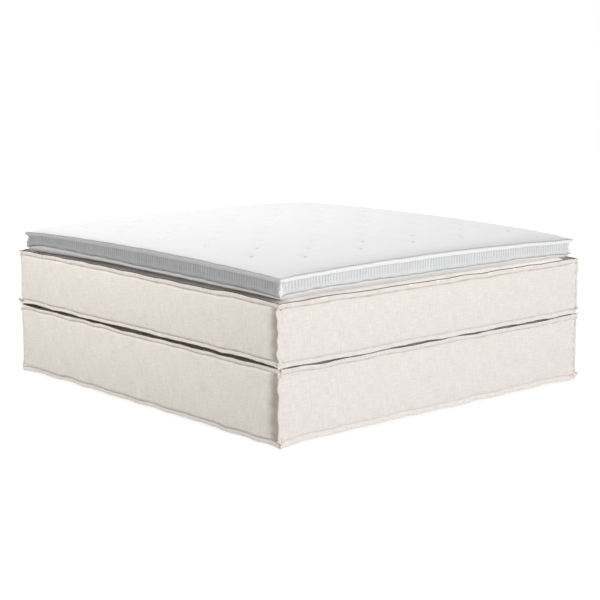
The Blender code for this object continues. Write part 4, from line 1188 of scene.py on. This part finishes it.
def tuft_ties(name, seed):
    """The yarn ties that hold the wadding down: a flat knot in each dimple, sunk deeper towards the head."""
    random = np.random.default_rng(seed)
    bm = bmesh.new()
    for x, y in tufts():
        sunk = 0.0060 * (0.5 + 0.5 * y / TOPPER_Y) ** 0.8 + random.uniform(0, 0.0010)
        z = float(quilt_height(np.array([x]), np.array([y]), QUILT_SEED)[0]) + TIE[2] * 0.85 - sunk
        knot = bmesh.ops.create_icosphere(bm, subdivisions=2, radius=1.0)["verts"]
        turn = random.uniform(0, math.pi)
        for vertex in knot:
            wild = 1 + 0.12 * random.uniform(-1, 1)
            long, wide, tall = (vertex.co[i] * TIE[i] * wild for i in range(3))
            vertex.co = (
                x + long * math.cos(turn) - wide * math.sin(turn),
                y + long * math.sin(turn) + wide * math.cos(turn),
                z + tall,
            )
    mesh = bpy.data.meshes.new(name)
    bm.to_mesh(mesh)
    bm.free()
    mesh.polygons.foreach_set("use_smooth", np.ones(len(mesh.polygons), bool))
    mesh.materials.append(wool_yarn_and_shade)
    piece = bpy.data.objects.new(name, mesh)
    bpy.context.scene.collection.objects.link(piece)
    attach(piece, "topper")


topper_block()
belly_panel()
for index, side in enumerate(SIDES):
    border(side, 650 + index * 5)
quilted(QUILT_SEED)
tuft_ties("topper_tufts", 699)

# Studio.
# A white floor that runs out of sight and soft lamps all round. The photo is a cut-out whose white topper and
# linen boxes were plainly lit apart, so each lamp lights only the pieces that are named with it.

bpy.context.scene.view_settings.view_transform = "Standard"

camera = bpy.data.cameras.new("camera")
camera.lens = 93.18
camera.sensor_width = 36.0
eye = bpy.data.objects.new("camera", camera)
eye.location = (-5.2495, -6.0298, 1.8285)
eye.rotation_euler = (math.radians(90 - 10.09), 0, -math.radians(41.25))
bpy.context.scene.collection.objects.link(eye)
bpy.context.scene.camera = eye


def seen_directly(tree):
    """1 where a thing is seen, also in a reflection or through glass, and 0 where it only lights."""
    rays = add_node(tree, "LightPath").outputs
    seen = rays["Is Camera Ray"]
    for way in ("Is Glossy Ray", "Is Transmission Ray"):
        seen = add_node(tree, "Math", {0: seen, 1: rays[way]}, operation="MAXIMUM").outputs[0]
    return seen


# White painted floor: what the camera sees is paper white with only the object's shadow on it.
floor_white, tree, shader = finish_named("studio floor painted white", 0.9)
shader.inputs["Base Color"].default_value = linear("dcdcdc")
glow = add_node(tree, "Emission", {"Color": (1, 1, 1, 1), "Strength": 0.92})
shadow = add_node(tree, "BsdfDiffuse", {"Color": linear("7c7c7c")})
lit = add_node(tree, "AddShader")
tree.links.new(glow.outputs[0], lit.inputs[0])
tree.links.new(shadow.outputs[0], lit.inputs[1])
chosen = add_node(tree, "MixShader", {0: seen_directly(tree)})
tree.links.new(shader.outputs[0], chosen.inputs[1])
tree.links.new(lit.outputs[0], chosen.inputs[2])
tree.links.new(chosen.outputs[0], tree.nodes["Material Output"].inputs["Surface"])

FLOOR_REACH = 40.0
floor_points = np.array([(x, y, 0.0) for y in (-1, 1) for x in (-1, 1)]) * FLOOR_REACH
floor = mesh_of("floor", floor_points, grid_faces(2, 2))
floor.data.materials.append(floor_white)

world = bpy.data.worlds.new("studio")
bpy.context.scene.world = world
world.use_nodes = True
tree = world.node_tree
backdrop = tree.nodes["Background"]
backdrop.inputs["Color"].default_value = (1, 1, 1, 1)
strength = add_node(tree, "MapRange", {"Value": seen_directly(tree), "To Min": 0.48, "To Max": 1.0})
tree.links.new(strength.outputs["Result"], backdrop.inputs["Strength"])


def soft_lamp(name, place, aim, size, watts, lit, spared=False):
    """A soft box that looks at a point and lights only some pieces, or with spared all but those."""
    lamp = bpy.data.lights.new(name, "AREA")
    lamp.shape = "RECTANGLE"
    lamp.size, lamp.size_y = size
    lamp.energy = watts
    stand = bpy.data.objects.new(name, lamp)
    stand.location = place
    way = np.array(aim, float) - np.array(place, float)
    turn = math.atan2(way[0], -way[1])
    stand.rotation_euler = (math.pi / 2 - math.atan2(-way[2], math.hypot(way[0], way[1])), 0, turn + math.pi)
    stand.visible_camera = False
    bpy.context.scene.collection.objects.link(stand)
    pieces = bpy.data.collections.new(f"{name} pieces")
    for piece_name in lit:
        pieces.objects.link(bpy.data.objects[piece_name])
    if spared:
        for entry in pieces.collection_objects:
            entry.light_linking.link_state = "EXCLUDE"
    stand.light_linking.receiver_collection = pieces
    return lamp


top = ("topper_quilt", "topper_tufts")
both_tops = top + ("mattress_linen_top",)
linen_sides = [f"{layer}_linen_{side}" for side in SIDES for layer in ("base", "mattress")]
front = (-0.8, -10.7, 3.3)
soft_lamp("front lamp", front, (0, 0, 0.4), (6.0, 3.0), 610, both_tops, spared=True)
# From behind the head end, so that the two hidden sides look as the seen ones do from their own side.
soft_lamp("back lamp", (4.5, 9.5, 3.3), (0, 0, 0.4), (6.0, 3.0), 560, both_tops, spared=True)
soft_lamp("top lamp", (-0.4, 2.0, 5.6), (0, 0, 0.7), (1.5, 1.5), 172, top)
soft_lamp("fill lamp", front, (0, 0, 0.7), (6.0, 3.0), 110, top)
left_lamp = soft_lamp("left lamp", (-3.5, 0.6, 2.2), (-1, 0, 0.4), (2.5, 1.5), 58, linen_sides)
left_lamp.color = (1.0, 0.975, 0.93)
soft_lamp("strip lamp", (4.5, -8.5, 2.6), (0, -1, 0.65), (6.0, 1.5), 930, ["mattress_linen_top"])
soft_lamp("low lamp", (-7.0, 0.0, 0.5), (-1, 0, 0.65), (5.0, 1.0), 95, ["topper_underside"])
